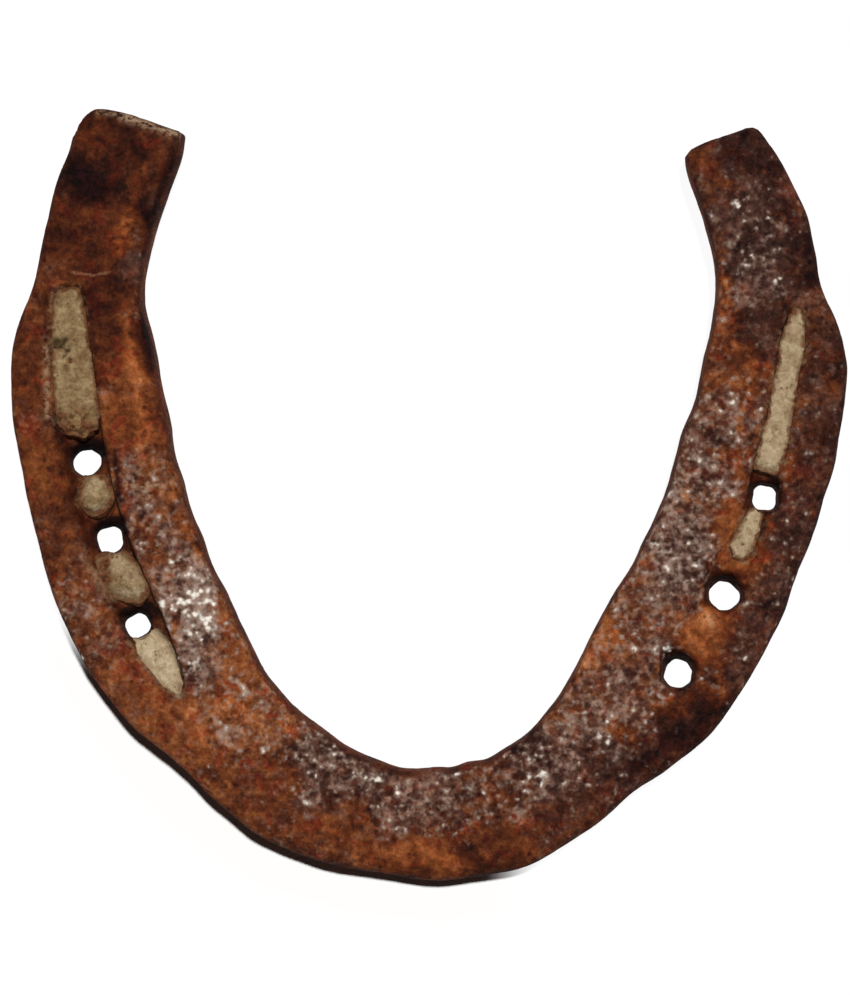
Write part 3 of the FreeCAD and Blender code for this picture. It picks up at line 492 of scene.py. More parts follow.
def grow_rust(points, top, hole_gap):
    """Raise rust in the right crease and its seats; returns how overgrown it is."""
    count = len(points)
    high = points[:, 2] > 3.0
    plan = points[:, :2] + 0.9 * noise_vectors(gnoise, points / 1.8, 41, 42)
    grown = np.zeros(count)
    low = np.zeros(count)
    for x0, y0, x1, y1, radius, unfilled in OVERGROWN:
        dist, _ = capsule(plan, x0, y0, x1, y1)
        here = fade(dist, radius - 0.7, radius + 0.9)
        low = np.maximum(low, here * unfilled)
        grown = np.maximum(grown, here)
    grown *= ease(hole_gap, 2.9, 4.0) * high
    # scale chokes the seats too, least on their heel side
    choke = np.zeros(count)
    for number, inner, clear in CHOKED_SEATS:
        _, dy, r = around(points, HOLES_TOP[number])
        ring = ease(r, inner, inner + 0.65) * fade(r, 4.4, 5.6)
        ring *= 1 - clear * ease(-dy / r, 0.1, 0.6)
        choke = np.maximum(choke, ring * (1 - 0.70 * ease(dy / r, 0.15, 0.85)))
    choke *= high * 0.85
    aim = top - 0.20 - low + 0.30 * fbm(points / 1.6, 43, 2)
    z = points[:, 2]
    points[:, 2] = np.where(z < aim, z + np.maximum(grown, choke) * (aim - z), z)
    return grown


def soften_creases(points, edges, crease_gap, hole_gap):
    """Round the hammered lips; the last turns leave the holes alone."""
    soft = fade(crease_gap, 4.6, 6.2) * ease(points[:, 2], 1.6, 3.2)
    off_hole = ease(hole_gap, 2.4, 3.4)
    share = (soft * (0.25 + 0.75 * off_hole) * 0.6)[:, None]
    for turn in range(16):
        pull = share * off_hole[:, None] if turn >= 6 else share
        points = points + pull * (neighbour_mean(points, edges) - points)
    return points


def rust_back(points, normals, crease_gap, hole_gap):
    """Set back the walls that face the left side and the opening."""
    wall = ease(crease_gap, 4.3, 5.4) * ease(hole_gap, 5.0, 7.0)
    back = 0.37 * np.clip(-normals[:, 0], 0, 1) * ease(normals[:, 1], -0.78, -0.40)
    back += 0.21 * np.clip(normals[:, 1], 0, 1) * fade(points[:, 1], 40.0, 50.0)
    return points - normals * (back * wall)[:, None]


def bar_places(points, normals, top):
    """Where each vertex sits: depth, surface facing and distance to holes."""
    up = normals[:, 2]
    depth = top - points[:, 2]
    on_top = ease(up, 0.35, 0.85) * fade(depth, 0.5, 1.3)
    hoof = ease(-up, 0.5, 0.9) * fade(points[:, 2], 0.2, 0.8)
    side = 1 - np.clip(on_top + hoof, 0, 1)
    heel_side = np.zeros(len(points))
    for hole in HOLES_TOP:
        _, dy, r = around(points, hole)
        heel_side = np.maximum(heel_side, ease(dy / r, 0.15, 0.75) * fade(r, 3.3, 4.8))
    return SimpleNamespace(
        up=up, depth=depth, hoof=hoof, side=side, heel_side=heel_side,
        below=ease(depth, 0.7, 1.6) * ease(up, -0.2, 0.3),
        lower_side=side * ease(depth, 1.2, 3.2),
        hole_gap=nearest_hole(points))


def iron_look(points, at):
    """Tone, hue and speckle; walls and hoof side fade to plain brown rust."""
    big = fbm(points / 9.0, 401, 3)
    look = zone_fields(points)
    wall_look = np.stack([
        0.46 + 0.22 * big, 0.66 + 0.34 * big,
        np.clip(0.16 + 0.25 * fbm(points / 8.0, 404, 2), 0, 1)], 1)
    hoof_look = np.stack([
        0.44 + 0.20 * big, 0.70 + 0.40 * fbm(points / 13.0, 402, 2),
        np.clip(0.40 + 0.6 * fbm(points / 12.0, 403, 2), 0, 1)], 1)
    for share, plain_look in ((at.lower_side, wall_look), (at.hoof, hoof_look)):
        share = share[:, None]
        look = look * (1 - share) + share * plain_look
    return look.T


def iron_relief(points, at, speck):
    """Height of the corroded surface, and the shapes that make it up."""
    # long swells, then roughness
    lift = 0.15 * gnoise(points / 8.0, 11) + 0.10 * gnoise(points / 3.7, 12)
    lift += (0.05 + 0.07 * speck) * fbm(points / 1.5, 13, 2)
    # close-set pits with light ridges between them
    bent = points + 0.45 * noise_vectors(gnoise, points / 1.9, 31, 32, 33)
    first, second, who = cells(bent / 1.55, 21)
    present = ease(0.12 + 0.95 * speck - byte(who, 12), -0.05, 0.10)
    pit = present * dome_of(first / (0.42 + 0.20 * byte(who, 4)))
    ridge = fade(second - first, 0.06, 0.34) * np.clip(0.15 + 1.1 * speck, 0, 1)
    lift -= pit * (0.07 + 0.13 * byte(who, 20))
    lift += ridge * 0.05
    # a few wider and deeper pits anywhere
    first, _, who = cells(bent / 5.2 + 2.2, 27)
    wide = dome_of(first / (0.13 + 0.12 * byte(who, 4)))
    wide = np.where(byte(who, 12) < 0.30, wide, 0) ** 0.8
    lift -= wide * (0.12 + 0.16 * byte(who, 20))
    # blisters of scale
    first, _, who = cells(bent / 3.1 + 4.7, 22)
    dome = dome_of(first / (0.20 + 0.24 * byte(who, 4)))
    dome = np.where(byte(who, 12) < 0.42, dome, 0)
    lift += dome * (0.05 + 0.12 * byte(who, 20))
    # flaking layers of scale, as small steps
    layer = fbm(points / 3.4, 23, 3) * 4.0
    step = np.floor(layer) + ease(layer - np.floor(layer), 0.35, 0.65)
    lift += (0.04 + 0.03 * speck) * (step - layer * 0.3)
    # worn, nibbled edges
    steep = np.abs(at.up)
    edge = ease(1 - steep, 0.12, 0.5) * ease(steep, 0.05, 0.35)
    lift -= edge * 0.07 * (0.5 + np.clip(fbm(points / 2.4, 24, 2), -1, 1))
    # smoother walls, with forging drag lines and hammer flats
    lift *= 1 - 0.65 * at.side
    lift += at.side * 0.06 * gnoise(points * np.array([0.25, 0.25, 1.6]), 25)
    lift += at.side * 0.05 * gnoise(points / 3.4, 28)
    # gentler near a hole and in a crease
    lift *= 1 - 0.60 * np.exp(-(at.hole_gap / 4.0) ** 2)
    inside = (at.depth > 1.0) & (at.up > 0.3)
    inside |= (at.hole_gap < 4.4) & (at.depth > 0.6)
    lift = np.where(inside, np.clip(lift, -0.16, 0.06) * 0.8, lift)
    lift += 0.13 * gnoise(points / 1.5, 29) * fade(at.hole_gap, 2.6, 3.4)
    # lumpy scale where the rust has grown over the groove
    lumps = np.zeros(len(points))
    for x, y, radius, height in SCALE_LUMPS:
        gap = np.hypot(points[:, 0] - x, points[:, 1] - y) / radius
        lump = dome_of(gap) ** 1.1 * ease(at.up, 0.2, 0.7)
        lump *= 0.75 + 0.5 * fbm(points / 1.1, 26, 2)
        lumps = np.maximum(lumps, lump)
        lift += lump * height
    return SimpleNamespace(lift=lift, pit=pit, ridge=ridge, wide=wide, dome=dome,
                           edge=edge, lumps=lumps)


def painted_hole_shade(points, at, grown):
    """Painted shade: dark on the heel side of each hole, down in the seats and faintly in
    the crease floors.
    """
    seat = ease(at.depth, 1.2, 3.4) * fade(at.hole_gap, 3.6, 5.2)
    deep = np.clip(1.0 * at.heel_side * ease(at.depth, 0.25, 1.2) + 0.12 * seat
                   + 0.06 * at.below, 0, 1)
    deep *= (1 - 0.8 * grown) * np.where(points[:, 0] > 0, 0.55, 1.0)
    return deep * (0.72 + 0.5 * np.clip(fbm(points / 1.3, 51, 2) + 0.3, 0, 1))


def soil_dust(points, crease_gap, deep):
    """Dust smeared on the iron round each lump of soil."""
    soil = np.concatenate([coords(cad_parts[node].data)
                           for node in sorted(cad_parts) if node != "shoe_bar"])
    tree = tree_of(soil[soil[:, 2] > 5.0])
    gap = gaps_to(tree, points, (crease_gap < 5.5) & (points[:, 2] > 4.5))
    return np.where(gap > 0, fade(gap, 0.15, 1.7), 0) * (1 - 0.7 * deep)


def make_bar():
    bar = remeshed("shoe_bar", "forged_bar", BAR_VOXEL_m)
    mesh = bar.data
    edges = edges_of(mesh)
    points = coords(mesh)
    top = np.interp(points[:, 1], TOP_Y, TOP_Z)
    crease_gap = nearest_crease(points)
    hole_gap = nearest_hole(points)
    grown = grow_rust(points, top, hole_gap)
    points = soften_creases(points, edges, crease_gap, hole_gap)
    put(mesh, points)
    normals = soft_normals(mesh, edges, 3)
    points = rust_back(points, normals, crease_gap, hole_gap)

    at = bar_places(points, normals, top)
    tone, hue, speck = iron_look(points, at)
    speck = np.clip(speck, 0, 1)
    marks = mark_fields(points)
    marks *= (1 - np.clip(at.lower_side + at.hoof, 0, 1))[:, None]
    relief = iron_relief(points, at, speck)
    overgrown = grown * 0.8 * ease(at.hole_gap, 2.6, 3.4) * (0.55 + 0.45 * relief.lumps)
    marks[:, 1] = np.maximum(marks[:, 1], overgrown)
    moved = points + normals * relief.lift[:, None]
    # nothing sinks below the hoof side's plane
    moved[:, 2] = np.maximum(moved[:, 2], 0.0)
    put(mesh, moved)
    shade_smooth(mesh)

    # deep is painted shade round the holes and in the seats
    deep = painted_hole_shade(points, at, grown)
    # painted shade: a little darker down in the creases and on the rounded edges
    shade = np.clip(tone - 0.05 * at.below - 0.10 * relief.wide
                    + 0.10 * relief.dome - 0.03 * relief.edge, 0, 1)
    hue = np.clip(hue + 0.25 * relief.wide + 0.20 * at.below, 0, 1)
    flat = 1 - np.clip(at.below + at.lower_side * 0.5, 0, 1)
    dust = soil_dust(points, crease_gap, deep)
    paint(mesh, "zone", np.stack([shade, hue, speck * flat, deep], 1))
    paint(mesh, "marks", np.clip(marks, 0, 1))
    paint(mesh, "dust", np.repeat(np.clip(dust, 0, 1)[:, None], 4, 1))
    paint(mesh, "relief", np.stack([relief.pit, relief.ridge * flat, relief.dome,
                                    np.clip(0.5 + relief.lift, 0, 1)], 1))
    return register(bar, iron_material(), "shoe_bar")


# ---------------------------------------------------------------------------
# Shader graphs
# ---------------------------------------------------------------------------
def linear(colour):
    """0..255 display values to the linear colour a node wants."""
    shares = [c / 255.0 for c in colour]
    return (*[s / 12.92 if s <= 0.04045 else ((s + 0.055) / 1.055) ** 2.4
              for s in shares], 1.0)


class Value:
    """An output socket that can be used in sums."""

    def __init__(self, graph, socket):
        self.graph = graph
        self.socket = socket

    def __add__(self, other):
        return self.graph.math("ADD", self, other)

    def __radd__(self, other):
        return self.graph.math("ADD", other, self)

    def __sub__(self, other):
        return self.graph.math("SUBTRACT", self, other)

    def __rsub__(self, other):
        return self.graph.math("SUBTRACT", other, self)

    def __mul__(self, other):
        return self.graph.math("MULTIPLY", self, other)

    def __abs__(self):
        return self.graph.math("ABSOLUTE", self)


class Graph:
    """A principled material; self.mm is the position in millimetres."""

    def __init__(self, name):
        self.material = bpy.data.materials.new(name)
        self.material.use_nodes = True
        self.tree = self.material.node_tree
        self.tree.nodes.clear()
        output = self.node("OutputMaterial")
        self.bsdf = self.node("BsdfPrincipled")
        self.tree.links.new(self.bsdf.outputs["BSDF"], output.inputs["Surface"])
        place = self.node("TexCoord")
        scale = self.node("VectorMath", operation="SCALE")
        scale.inputs["Scale"].default_value = 1000.0
        self.tree.links.new(place.outputs["Object"], scale.inputs[0])
        self.mm = Value(self, scale.outputs[0])

    def node(self, kind, **settings):
        node = self.tree.nodes.new("ShaderNode" + kind)
        for name, value in settings.items():
            setattr(node, name, value)
        return node

    def feed(self, node, inputs):
        for key, value in inputs.items():
            if isinstance(value, Value):
                self.tree.links.new(value.socket, node.inputs[key])
            else:
                node.inputs[key].default_value = value

    def surface(self, **inputs):
        """Set shader inputs; underscores stand for spaces."""
        self.feed(self.bsdf, {key.replace("_", " "): value
                              for key, value in inputs.items()})

    def made(self, kind, inputs, output, **settings):
        """A node with its inputs set; returns one output."""
        node = self.node(kind, **settings)
        self.feed(node, inputs)
        return Value(self, node.outputs[output])

    def math(self, operation, a, b=0.0):
        return self.made("Math", {0: a, 1: b}, 0, operation=operation)

    def vector(self, operation, *inputs, output="Vector"):
        return self.made("VectorMath", dict(enumerate(inputs)), output,
                         operation=operation)

    def noise(self, scale, detail=2.0, rough=0.55, distort=0.0, at=(0, 0, 0),
              output="Fac"):
        return self.made("TexNoise", {
            "Scale": scale, "Detail": detail, "Roughness": rough,
            "Distortion": distort, "Vector": self.vector("ADD", self.mm, at)}, output)

    def spots(self, scale, at, place=None):
        """Distance to random spots, and three random numbers for each spot."""
        dist, colour = [
            self.made("TexVoronoi", {
                "Scale": scale,
                "Vector": self.vector("ADD", place or self.mm, at)}, output)
            for output in ("Distance", "Color")]
        return dist, self.split("Color", colour)

    def split(self, kind, value):
        node = self.node("Separate" + kind)
        self.feed(node, {0: value})
        return [Value(self, socket) for socket in node.outputs]

    def attribute(self, name):
        """Red, green, blue and alpha of a painted layer."""
        node = self.node("Attribute", attribute_type="GEOMETRY", attribute_name=name)
        rgb = self.split("Color", Value(self, node.outputs["Color"]))
        return (*rgb, Value(self, node.outputs["Alpha"]))

    def ease(self, x, low, high, start=0.0, end=1.0, kind="SMOOTHSTEP"):
        """Goes from start to end as x goes from low to high."""
        return self.made("MapRange", {
            "Value": x, "From Min": low, "From Max": high,
            "To Min": start, "To Max": end}, "Result", interpolation_type=kind)

    def fade(self, x, near, far):
        return self.ease(x, near, far, start=1.0, end=0.0)

    def ramp(self, x, stops):
        node = self.node("ValToRGB")
        elements = node.color_ramp.elements
        while len(elements) > 1:
            elements.remove(elements[-1])
        elements[0].position = stops[0][0]
        elements[0].color = linear(stops[0][1])
        for position, colour in stops[1:]:
            elements.new(position).color = linear(colour)
        self.feed(node, {"Fac": x})
        return Value(self, node.outputs["Color"])

    def mix(self, share, a, b):
        """Blend from colour a to colour b."""
        a, b = [c if isinstance(c, Value) else linear(c) for c in (a, b)]
        return self.made("Mix", {0: share, 6: a, 7: b}, 2, data_type="RGBA")

    def bump(self, height, strength, distance_m):
        return self.made("Bump", {"Strength": strength, "Distance": distance_m,
                                  "Height": height}, "Normal")


# ---------------------------------------------------------------------------
# Materials
# ---------------------------------------------------------------------------
# Colour ramps from dark to light: position, display colour
WARM_RUST = [(0.0, (14, 3, 3)), (0.15, (34, 11, 5)), (0.30, (58, 24, 11)),
             (0.45, (84, 40, 18)), (0.60, (112, 60, 29)), (0.75, (143, 84, 45)),
             (0.90, (176, 112, 72)), (1.0, (206, 148, 110))]
GREY_RUST = [(0.0, (18, 7, 7)), (0.15, (40, 21, 17)), (0.30, (62, 38, 31)),
             (0.45, (86, 60, 51)), (0.60, (112, 86, 75)), (0.75, (142, 118, 105)),
             (0.90, (178, 156, 144)), (1.0, (214, 202, 190))]
RED_STAIN = [(0.0, (26, 4, 3)), (0.3, (66, 19, 10)), (0.5, (104, 36, 18)),
             (0.7, (142, 62, 34)), (1.0, (190, 110, 74))]
ORANGE_BLOOM = [(0.0, (56, 18, 5)), (0.3, (98, 42, 16)), (0.5, (134, 66, 28)),
                (0.7, (172, 98, 54)), (0.85, (206, 140, 96)), (1.0, (226, 172, 132))]
COOL_SOIL = [(0.0, (58, 40, 25)), (0.3, (102, 78, 52)), (0.5, (131, 107, 75)),
             (0.7, (156, 134, 99)), (1.0, (196, 178, 144))]
SANDY_SOIL = [(0.0, (98, 76, 54)), (0.3, (150, 127, 98)), (0.5, (176, 156, 125)),
              (0.7, (195, 178, 149)), (1.0, (224, 211, 188))]

# The thin curved scratch across the left heel: y = base + bend * (x - middle)^2
SCRATCH_X, SCRATCH_Y, SCRATCH_BEND = -56.35, 37.10, 0.042


def scratch_mask(g, mottle, blot, grain):
    x, y, z = g.split("XYZ", g.mm)
    along = x + -SCRATCH_X
    arc = along * along * SCRATCH_BEND + SCRATCH_Y
    across = abs(y - (arc + (blot - 0.5) * 0.8))
    mask = g.fade(across, near=0.10, far=0.34) * g.fade(abs(along), near=2.7, far=3.9)
    mask = mask * g.ease(z, low=6.0, high=7.0)
    # broken up by the blotches and grains
    mask = mask * g.ease(mottle, 0.30, 0.50, start=0.35)
    return mask * g.ease(grain, 0.34, 0.56, start=0.45)


def iron_material():
    g = Graph("rusted_iron")
    tone, hue, speck, deep = g.attribute("zone")
    dark, orange, white, pale = g.attribute("marks")
    pit, ridge, _, _ = g.attribute("relief")

    patch = g.noise(0.20, rough=0.5, distort=0.4)                # 5 mm areas
    mottle = g.noise(0.50, detail=3.0, distort=0.6, at=(31, 7, 3))  # 2 mm blotches
    blot = g.noise(1.05, distort=0.5, at=(3, 41, 9))             # 1 mm spots
    grain = g.noise(2.3, distort=0.2, at=(3, 4, 19))             # 0.4 mm grains
    fine = g.noise(5.5, detail=1.0, rough=0.5, at=(13, 2, 77))   # 0.2 mm grit

    # how light the rust is: each noise by its contrast, then pits and marks; the dark
    # marks and deep also darken it as painted shade
    light = (tone + (patch - 0.5) * 0.50
             + (mottle - 0.5) * (0.55 + speck * 0.35)
             + (blot - 0.5) * (0.34 + speck * 0.60)
             + (grain - 0.5) * (0.18 + speck * 0.10)
             + (fine - 0.5) * 0.07
             - pit * (0.07 + speck * 0.14) + ridge * (speck * 0.04)
             + orange * 0.12 - dark * 0.30 - deep * 0.30)
    warm = g.ramp(light, WARM_RUST)
    grey = g.ramp(light, GREY_RUST)
    # how warm it is: varied by noise, pushed by the marks and pits
    warmth = (hue + (g.noise(0.42, distort=0.5, at=(9, 9, 50)) - 0.5) * 1.1
              + orange * 0.6 - white * 0.5 - pit * speck * 0.25)
    colour = g.mix(g.ease(warmth, low=0.15, high=0.85), grey, warm)

    # deep red stains
    stain = g.noise(0.33, distort=0.8, at=(77, 21, 5))
    stain = g.ease(stain, 0.52, 0.68) * g.ease(hue, 0.2, 0.8, start=0.25, end=0.75)
    colour = g.mix(stain, colour, g.ramp(light, RED_STAIN))
    # bright orange bloom
    bloom = orange * g.ease(g.noise(0.7, distort=0.3, at=(5, 66, 2)), 0.32, 0.58)
    colour = g.mix(bloom * 0.8, colour, g.ramp(light, ORANGE_BLOOM))

    # silver-grey flecks gathered in clumps, on noise-bent positions
    clump = g.noise(0.30, rough=0.5, distort=0.3, at=(12, 90, 1))
    sway = g.noise(0.9, detail=1.0, rough=0.5, at=(6, 6, 1), output="Color")
    bent = g.vector("MULTIPLY_ADD", sway, (0.9, 0.9, 0.9), g.mm)
    dist, (size, _, _) = g.spots(0.98, at=(44, 3, 8), place=bent)
    small = g.fade(dist, near=0.08, far=0.74) * size
    fleck = g.noise(0.80, detail=0.8, rough=0.50, at=(71, 5, 23))
    # fleck strength: noise contrasts, a small threshold, then the painted amount
    silver = ((fleck - 0.5) * 1.25 + small * 0.42 + (clump - 0.5) * 0.65
              + (grain - 0.5) * 0.14 - pit * 0.10 - 0.06
              + (speck * 0.30 + white * 0.38))
    gate = g.ease(speck + white, low=0.03, high=0.45)
    # dark iron between the flecks
    gap = g.ease(fleck, low=0.50, high=0.34) * speck * 0.55
    colour = g.mix(gap, colour, g.mix(blot, (33, 15, 14), (58, 32, 26)))
    # soft brown-grey shoulders round pale cores
    shoulder = g.ease(silver, low=0.08, high=0.44) * gate * 0.70
    core = g.ease(silver, low=0.28, high=0.74) * gate
    colour = g.mix(shoulder, colour, g.mix(g.ease(light, 0.2, 0.75),
                                           (78, 56, 48), (150, 124, 108)))
    colour = g.mix(core * 0.92, colour, g.mix(g.ease(silver, 0.42, 0.92),
                                              (148, 125, 112), (240, 234, 222)))
    # dark pinholes
    dist, (_, chance, _) = g.spots(0.80, at=(50, 14, 4))
    pinhole = g.fade(dist, near=0.14, far=0.42) * g.ease(chance, 0.62, 0.80)
    colour = g.mix(pinhole * 0.55, colour, (32, 11, 8))
    # pale worn edges
    worn = g.noise(1.1, rough=0.6, distort=0.4, at=(8, 8, 8))
    worn = pale * g.ease(worn, low=0.36, high=0.60)
    colour = g.mix(worn * 0.92, colour, g.mix(grain, (136, 104, 78), (168, 144, 116)))
    # soil dust near the lumps, patchy
    dust = g.attribute("dust")[0]
    dusty = g.ease(dust * 0.75 + (grain - 0.5) * 0.7, low=0.22, high=0.72)
    patchy = g.noise(0.8, rough=0.5, distort=0.2, at=(1, 22, 3))
    dusty = dusty * g.ease(patchy, 0.40, 0.62, start=0.10)
    colour = g.mix(dusty * 0.80, colour, g.mix(light, (84, 56, 36), (150, 122, 90)))
    scratch = scratch_mask(g, mottle, blot, grain)
    colour = g.mix(scratch * 0.52, colour, (142, 100, 70))
    # black patches of rust, partly painted shadow along the left crease and over the
    # holes, then the painted shade round the holes and in the seats
    colour = g.mix(g.ease(dark * (0.6 + patch), 0.25, 0.85) * 0.66, colour,
                   g.mix(g.ease(blot, 0.3, 0.7), (12, 2, 6), (44, 15, 15)))
    colour = g.mix(g.ease(deep, 0.30, 0.95) * 0.86, colour, (15, 5, 4))

    # pale cores are a little smoother than the rust
    rough = g.ease(grain, 0.3, 0.75, start=0.95, end=0.78) - core * 0.20
    # share of each pattern in the fine relief
    height = (blot * 0.80 + grain * 0.32 + mottle * 0.55 + fine * 0.05
              + core * 0.14 + scratch * 0.25 - pinhole * 0.25)
    g.surface(Base_Color=colour, Roughness=rough, Specular_IOR_Level=0.10,
              Normal=g.bump(height, strength=0.58, distance_m=0.00045))
    return g.material


def soil_material():
    g = Graph("dried_soil")
    brown, dark, warm, crumb = g.attribute("tint")
    mottle = g.noise(0.7, detail=3.0, rough=0.6, distort=0.3)
    grain = g.noise(1.9, detail=3.0, rough=0.6, distort=0.2, at=(4, 8, 15))
    fine = g.noise(5.0, rough=0.6, at=(16, 23, 42))
    # how light the soil is: each noise by its contrast, darker between crumbs
    light = (0.5 + (mottle - 0.5) * 0.95 + (grain - 0.5) * 0.60 + (fine - 0.5) * 0.22)
    crumbs = g.noise(0.9, rough=0.5, distort=0.3, at=(2, 2, 9))
    light = light - crumb * g.ease(crumbs, 0.42, 0.60, start=0.50, end=0.02)
    colour = g.mix(warm, g.ramp(light, COOL_SOIL), g.ramp(light, SANDY_SOIL))
    colour = g.mix(crumb * g.ease(grain, 0.48, 0.66), colour, (166, 116, 60))
    # brown stain
    stain = g.ease(brown + (grain - 0.5) * 0.9, low=0.12, high=0.80)
    colour = g.mix(stain * g.ease(mottle, 0.3, 0.6, start=0.7), colour,
                   g.mix(g.ease(grain, 0.3, 0.7), (54, 24, 13), (114, 68, 42)))
    # darker spots with ragged edges, over the small hollows
    dark_spot = dark + ((grain - 0.5) * 0.95 + (mottle - 0.5) * 0.70)
    dark_spot = g.ease(dark_spot, low=0.28, high=0.93) * g.ease(dark, low=0.06, high=0.30)
    colour = g.mix(dark_spot * 0.96, colour, g.mix(grain, (30, 20, 11), (72, 56, 34)))
    # a few dark grains
    dist, (chance, _, _) = g.spots(1.2, at=(7, 1, 3))
    grit = g.fade(dist, near=0.14, far=0.34) * g.ease(chance, 0.78, 0.90)
    colour = g.mix(grit * 0.6, colour, (66, 50, 34))
    height = grain * 0.8 + fine * 0.30
    g.surface(Base_Color=colour, Roughness=0.95, Specular_IOR_Level=0.08,
              Normal=g.bump(height, strength=0.7, distance_m=0.00035))
    return g.material


# ---------------------------------------------------------------------------
# The lumps of packed soil
# ---------------------------------------------------------------------------
SEAM_Y = 24.8           # where the two left heel lumps meet
LAYER = 2.4             # height step used to match their walls
NOTCH = (-61.6, 25.8)   # the dark notch in the left heel's soil


def seam(node, points):
    """How near the other left heel lump is, and the plan direction to it."""
    near = np.zeros(len(points))
    toward = np.zeros((len(points), 3))
    for other in sorted(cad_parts):
        if "left_heel" not in node or "left_heel" not in other or other == node:
            continue
        # the other outline repeated at four heights, so that only plan counts
        tree = tree_of([(x, y, m * LAYER + LAYER / 2)
                        for x, y, _ in coords(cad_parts[other].data)
                        for m in range(4)])
        for k in np.nonzero(np.abs(points[:, 1] - SEAM_Y) < 4.0)[0]:
            x, y, z = points[k]
            level = round((z - LAYER / 2) / LAYER) * LAYER + LAYER / 2
            found = tree.find((x, y, level))[0]
            near[k] = math.hypot(found[0] - x, found[1] - y)
            toward[k, :2] = (found[0] - x, found[1] - y)
    toward /= np.maximum(np.hypot(toward[:, 0], toward[:, 1]), 1e-6)[:, None]
    return np.where(near > 0, fade(near, 0.3, 1.2), 0), toward


def soil_tints(node, points):
    """The four tints, and how hollow the dark spots are."""
    tints = np.zeros((len(points), 4))
    hollow = np.zeros(len(points))
    plan = points[:, :2] + noise_vectors(fbm, points / 1.4, 611, 612) * 0.8
    for k, (kind, rows) in enumerate(SOIL_TINTS.items()):
        for x, y, radius, strength in rows:
            square = (plan[:, 0] - x) ** 2 + (plan[:, 1] - y) ** 2
            spot = strength * np.exp(-square / (radius * radius) * 1.2)
            tints[:, k] = np.maximum(tints[:, k], spot)
            if kind == "dark":
                hollow = np.maximum(hollow, spot * min(0.5, radius / 0.8))
    # the toe lump and the right branch are sandier all over
    if "left_toe" in node:
        tints[:, 2] = np.maximum(tints[:, 2], 0.85)
    if "right" in node:
        tints[:, 2] = np.maximum(tints[:, 2], 0.72 if "mid" in node else 0.55)
    return tints, hollow


def slump_at_holes(points, moved, outward, upward, up, rim_gap, top):
    """Ends above a hole become crumbling slopes; others slump to its edge."""
    for hole in HOLES_TOP:
        dx, dy, r = around(points, hole)
        end = fade(r, 6.0, 8.0) * ease(dy / r, 0.2, 0.7)
        facing = ease(-(outward[:, 0] * dx + outward[:, 1] * dy) / r, 0.0, 0.6)
        down = np.clip((top - points[:, 2]) / 4.0, 0, 1)
        push = 0.95 * down * end * facing * (1 - ease(upward, 0.6, 0.95))
        moved[:, 0] -= dx / r * push
        moved[:, 1] -= dy / r * push
        moved[:, 2] -= 0.55 * end * up * fade(rim_gap, 0.1, 1.3) * fade(dy, 5.2, 6.8)
    for hole in HOLES_TOP:
        dx, dy, r = around(moved, hole)
        pull = 1.15 * fade(r, 3.4, 5.6) * ease(-dy / r, 0.0, 0.6)
        pull = np.minimum(pull, np.maximum(r - 2.25, 0))
        moved[:, 0] -= dx / r * pull
        moved[:, 1] -= dy / r * pull
        moved[:, 2] -= 0.45 * pull * ease(points[:, 2], top - 2.0, top - 0.5)


def make_lump(node, soil):
    lump = remeshed(node, node.replace("packed_", "dried_"), SOIL_VOXEL_m)
    mesh = lump.data
    edges = edges_of(mesh)
    points = coords(mesh)
    normals = soft_normals(mesh, edges, 2)
    seed = 500 + sum(ord(letter) for letter in node)
    z = points[:, 2]
    upward = normals[:, 2]
    top = z.max()
    up = ease(upward, 0.3, 0.85) * ease(z, top - 0.9, top - 0.3)
    rim = ease(1 - upward, 0.08, 0.6) * ease(z, top - 1.2, top - 0.4)
    wall = upward < 0.4
    rim_gap = gaps_to(tree_of(points[wall]), points, ~wall & (z > top - 2.0))
    joined, toward = seam(node, points)
    tints, hollow = soil_tints(node, points)

    # lumpy top, crumbled rim, sunken dark spots, thin outer margin
    lift = up * (0.24 * fbm(points / 2.4, seed, 2) + 0.13 * fbm(points / 0.8, seed + 5))
    rim *= 1 - joined
    lift -= rim * (0.04 + 0.16 * np.clip(fbm(points / 1.2, seed + 9, 2) + 0.4, 0, 1.2))
    lift -= hollow * up * 0.6
    lift -= up * 0.16 * fade(rim_gap, 0.1, 0.9) * (1 - joined)
    lift += tints[:, 3] * up * 0.30 * fbm(points / 0.9, seed + 13, 2)
    lift += (1 - up) * 0.03
    moved = points + normals * lift[:, None]
    # the sides swell against the iron and against each other
    plan_length = np.maximum(np.hypot(normals[:, 0], normals[:, 1]), 0.25)
    outward = normals[:, :2] / plan_length[:, None]
    moved[:, :2] += outward * (1 - ease(upward, 0.5, 0.95))[:, None] * 0.30
    moved += toward * (0.35 * joined)[:, None]
    moved[:, 2] += 0.12 * joined * up
    slump_at_holes(points, moved, outward, upward, up, rim_gap, top)
    # two small lumps are residue: their rims thin out on the crease floor
    thin = "left_mid" in node or "left_quarter" in node
    if thin:
        moved[:, 2] -= 0.95 * fade(rim_gap, 0.1, 2.5) * ease(z, top - 2.6, top - 0.4)
    # a ragged outline
    moved[:, :2] += noise_vectors(fbm, points / 1.5, 621, 622) * 0.50
    # round off the thin rims, or the dark notch
    if thin:
        worn = 0.50 * fade(rim_gap, 0.2, 1.5)
    else:
        worn = fade(np.hypot(points[:, 0] - NOTCH[0], points[:, 1] - NOTCH[1]), 1.7, 2.6)
    if worn.max() > 0:
        for _ in range(12 if thin else 22):
            moved += (worn * 0.7)[:, None] * (neighbour_mean(moved, edges) - moved)
    put(mesh, moved)
    shade_smooth(mesh)

    # a ragged brown stain along the rim
    ragged = 0.55 * fbm(points / 1.6, seed + 21) + 0.35 * fbm(points / 0.7, seed + 25, 2)
    stain = ease(-rim_gap + ragged * (1.5 if thin else 1.0),
                 -1.35 if thin else -0.85, 0.10) * (1 - joined)
    stain *= 0.40 if "left_toe" in node else 0.80
    tints[:, 0] = np.maximum(tints[:, 0], stain)
    paint(mesh, "tint", np.clip(tints, 0, 1))
    return register(lump, soil, node)


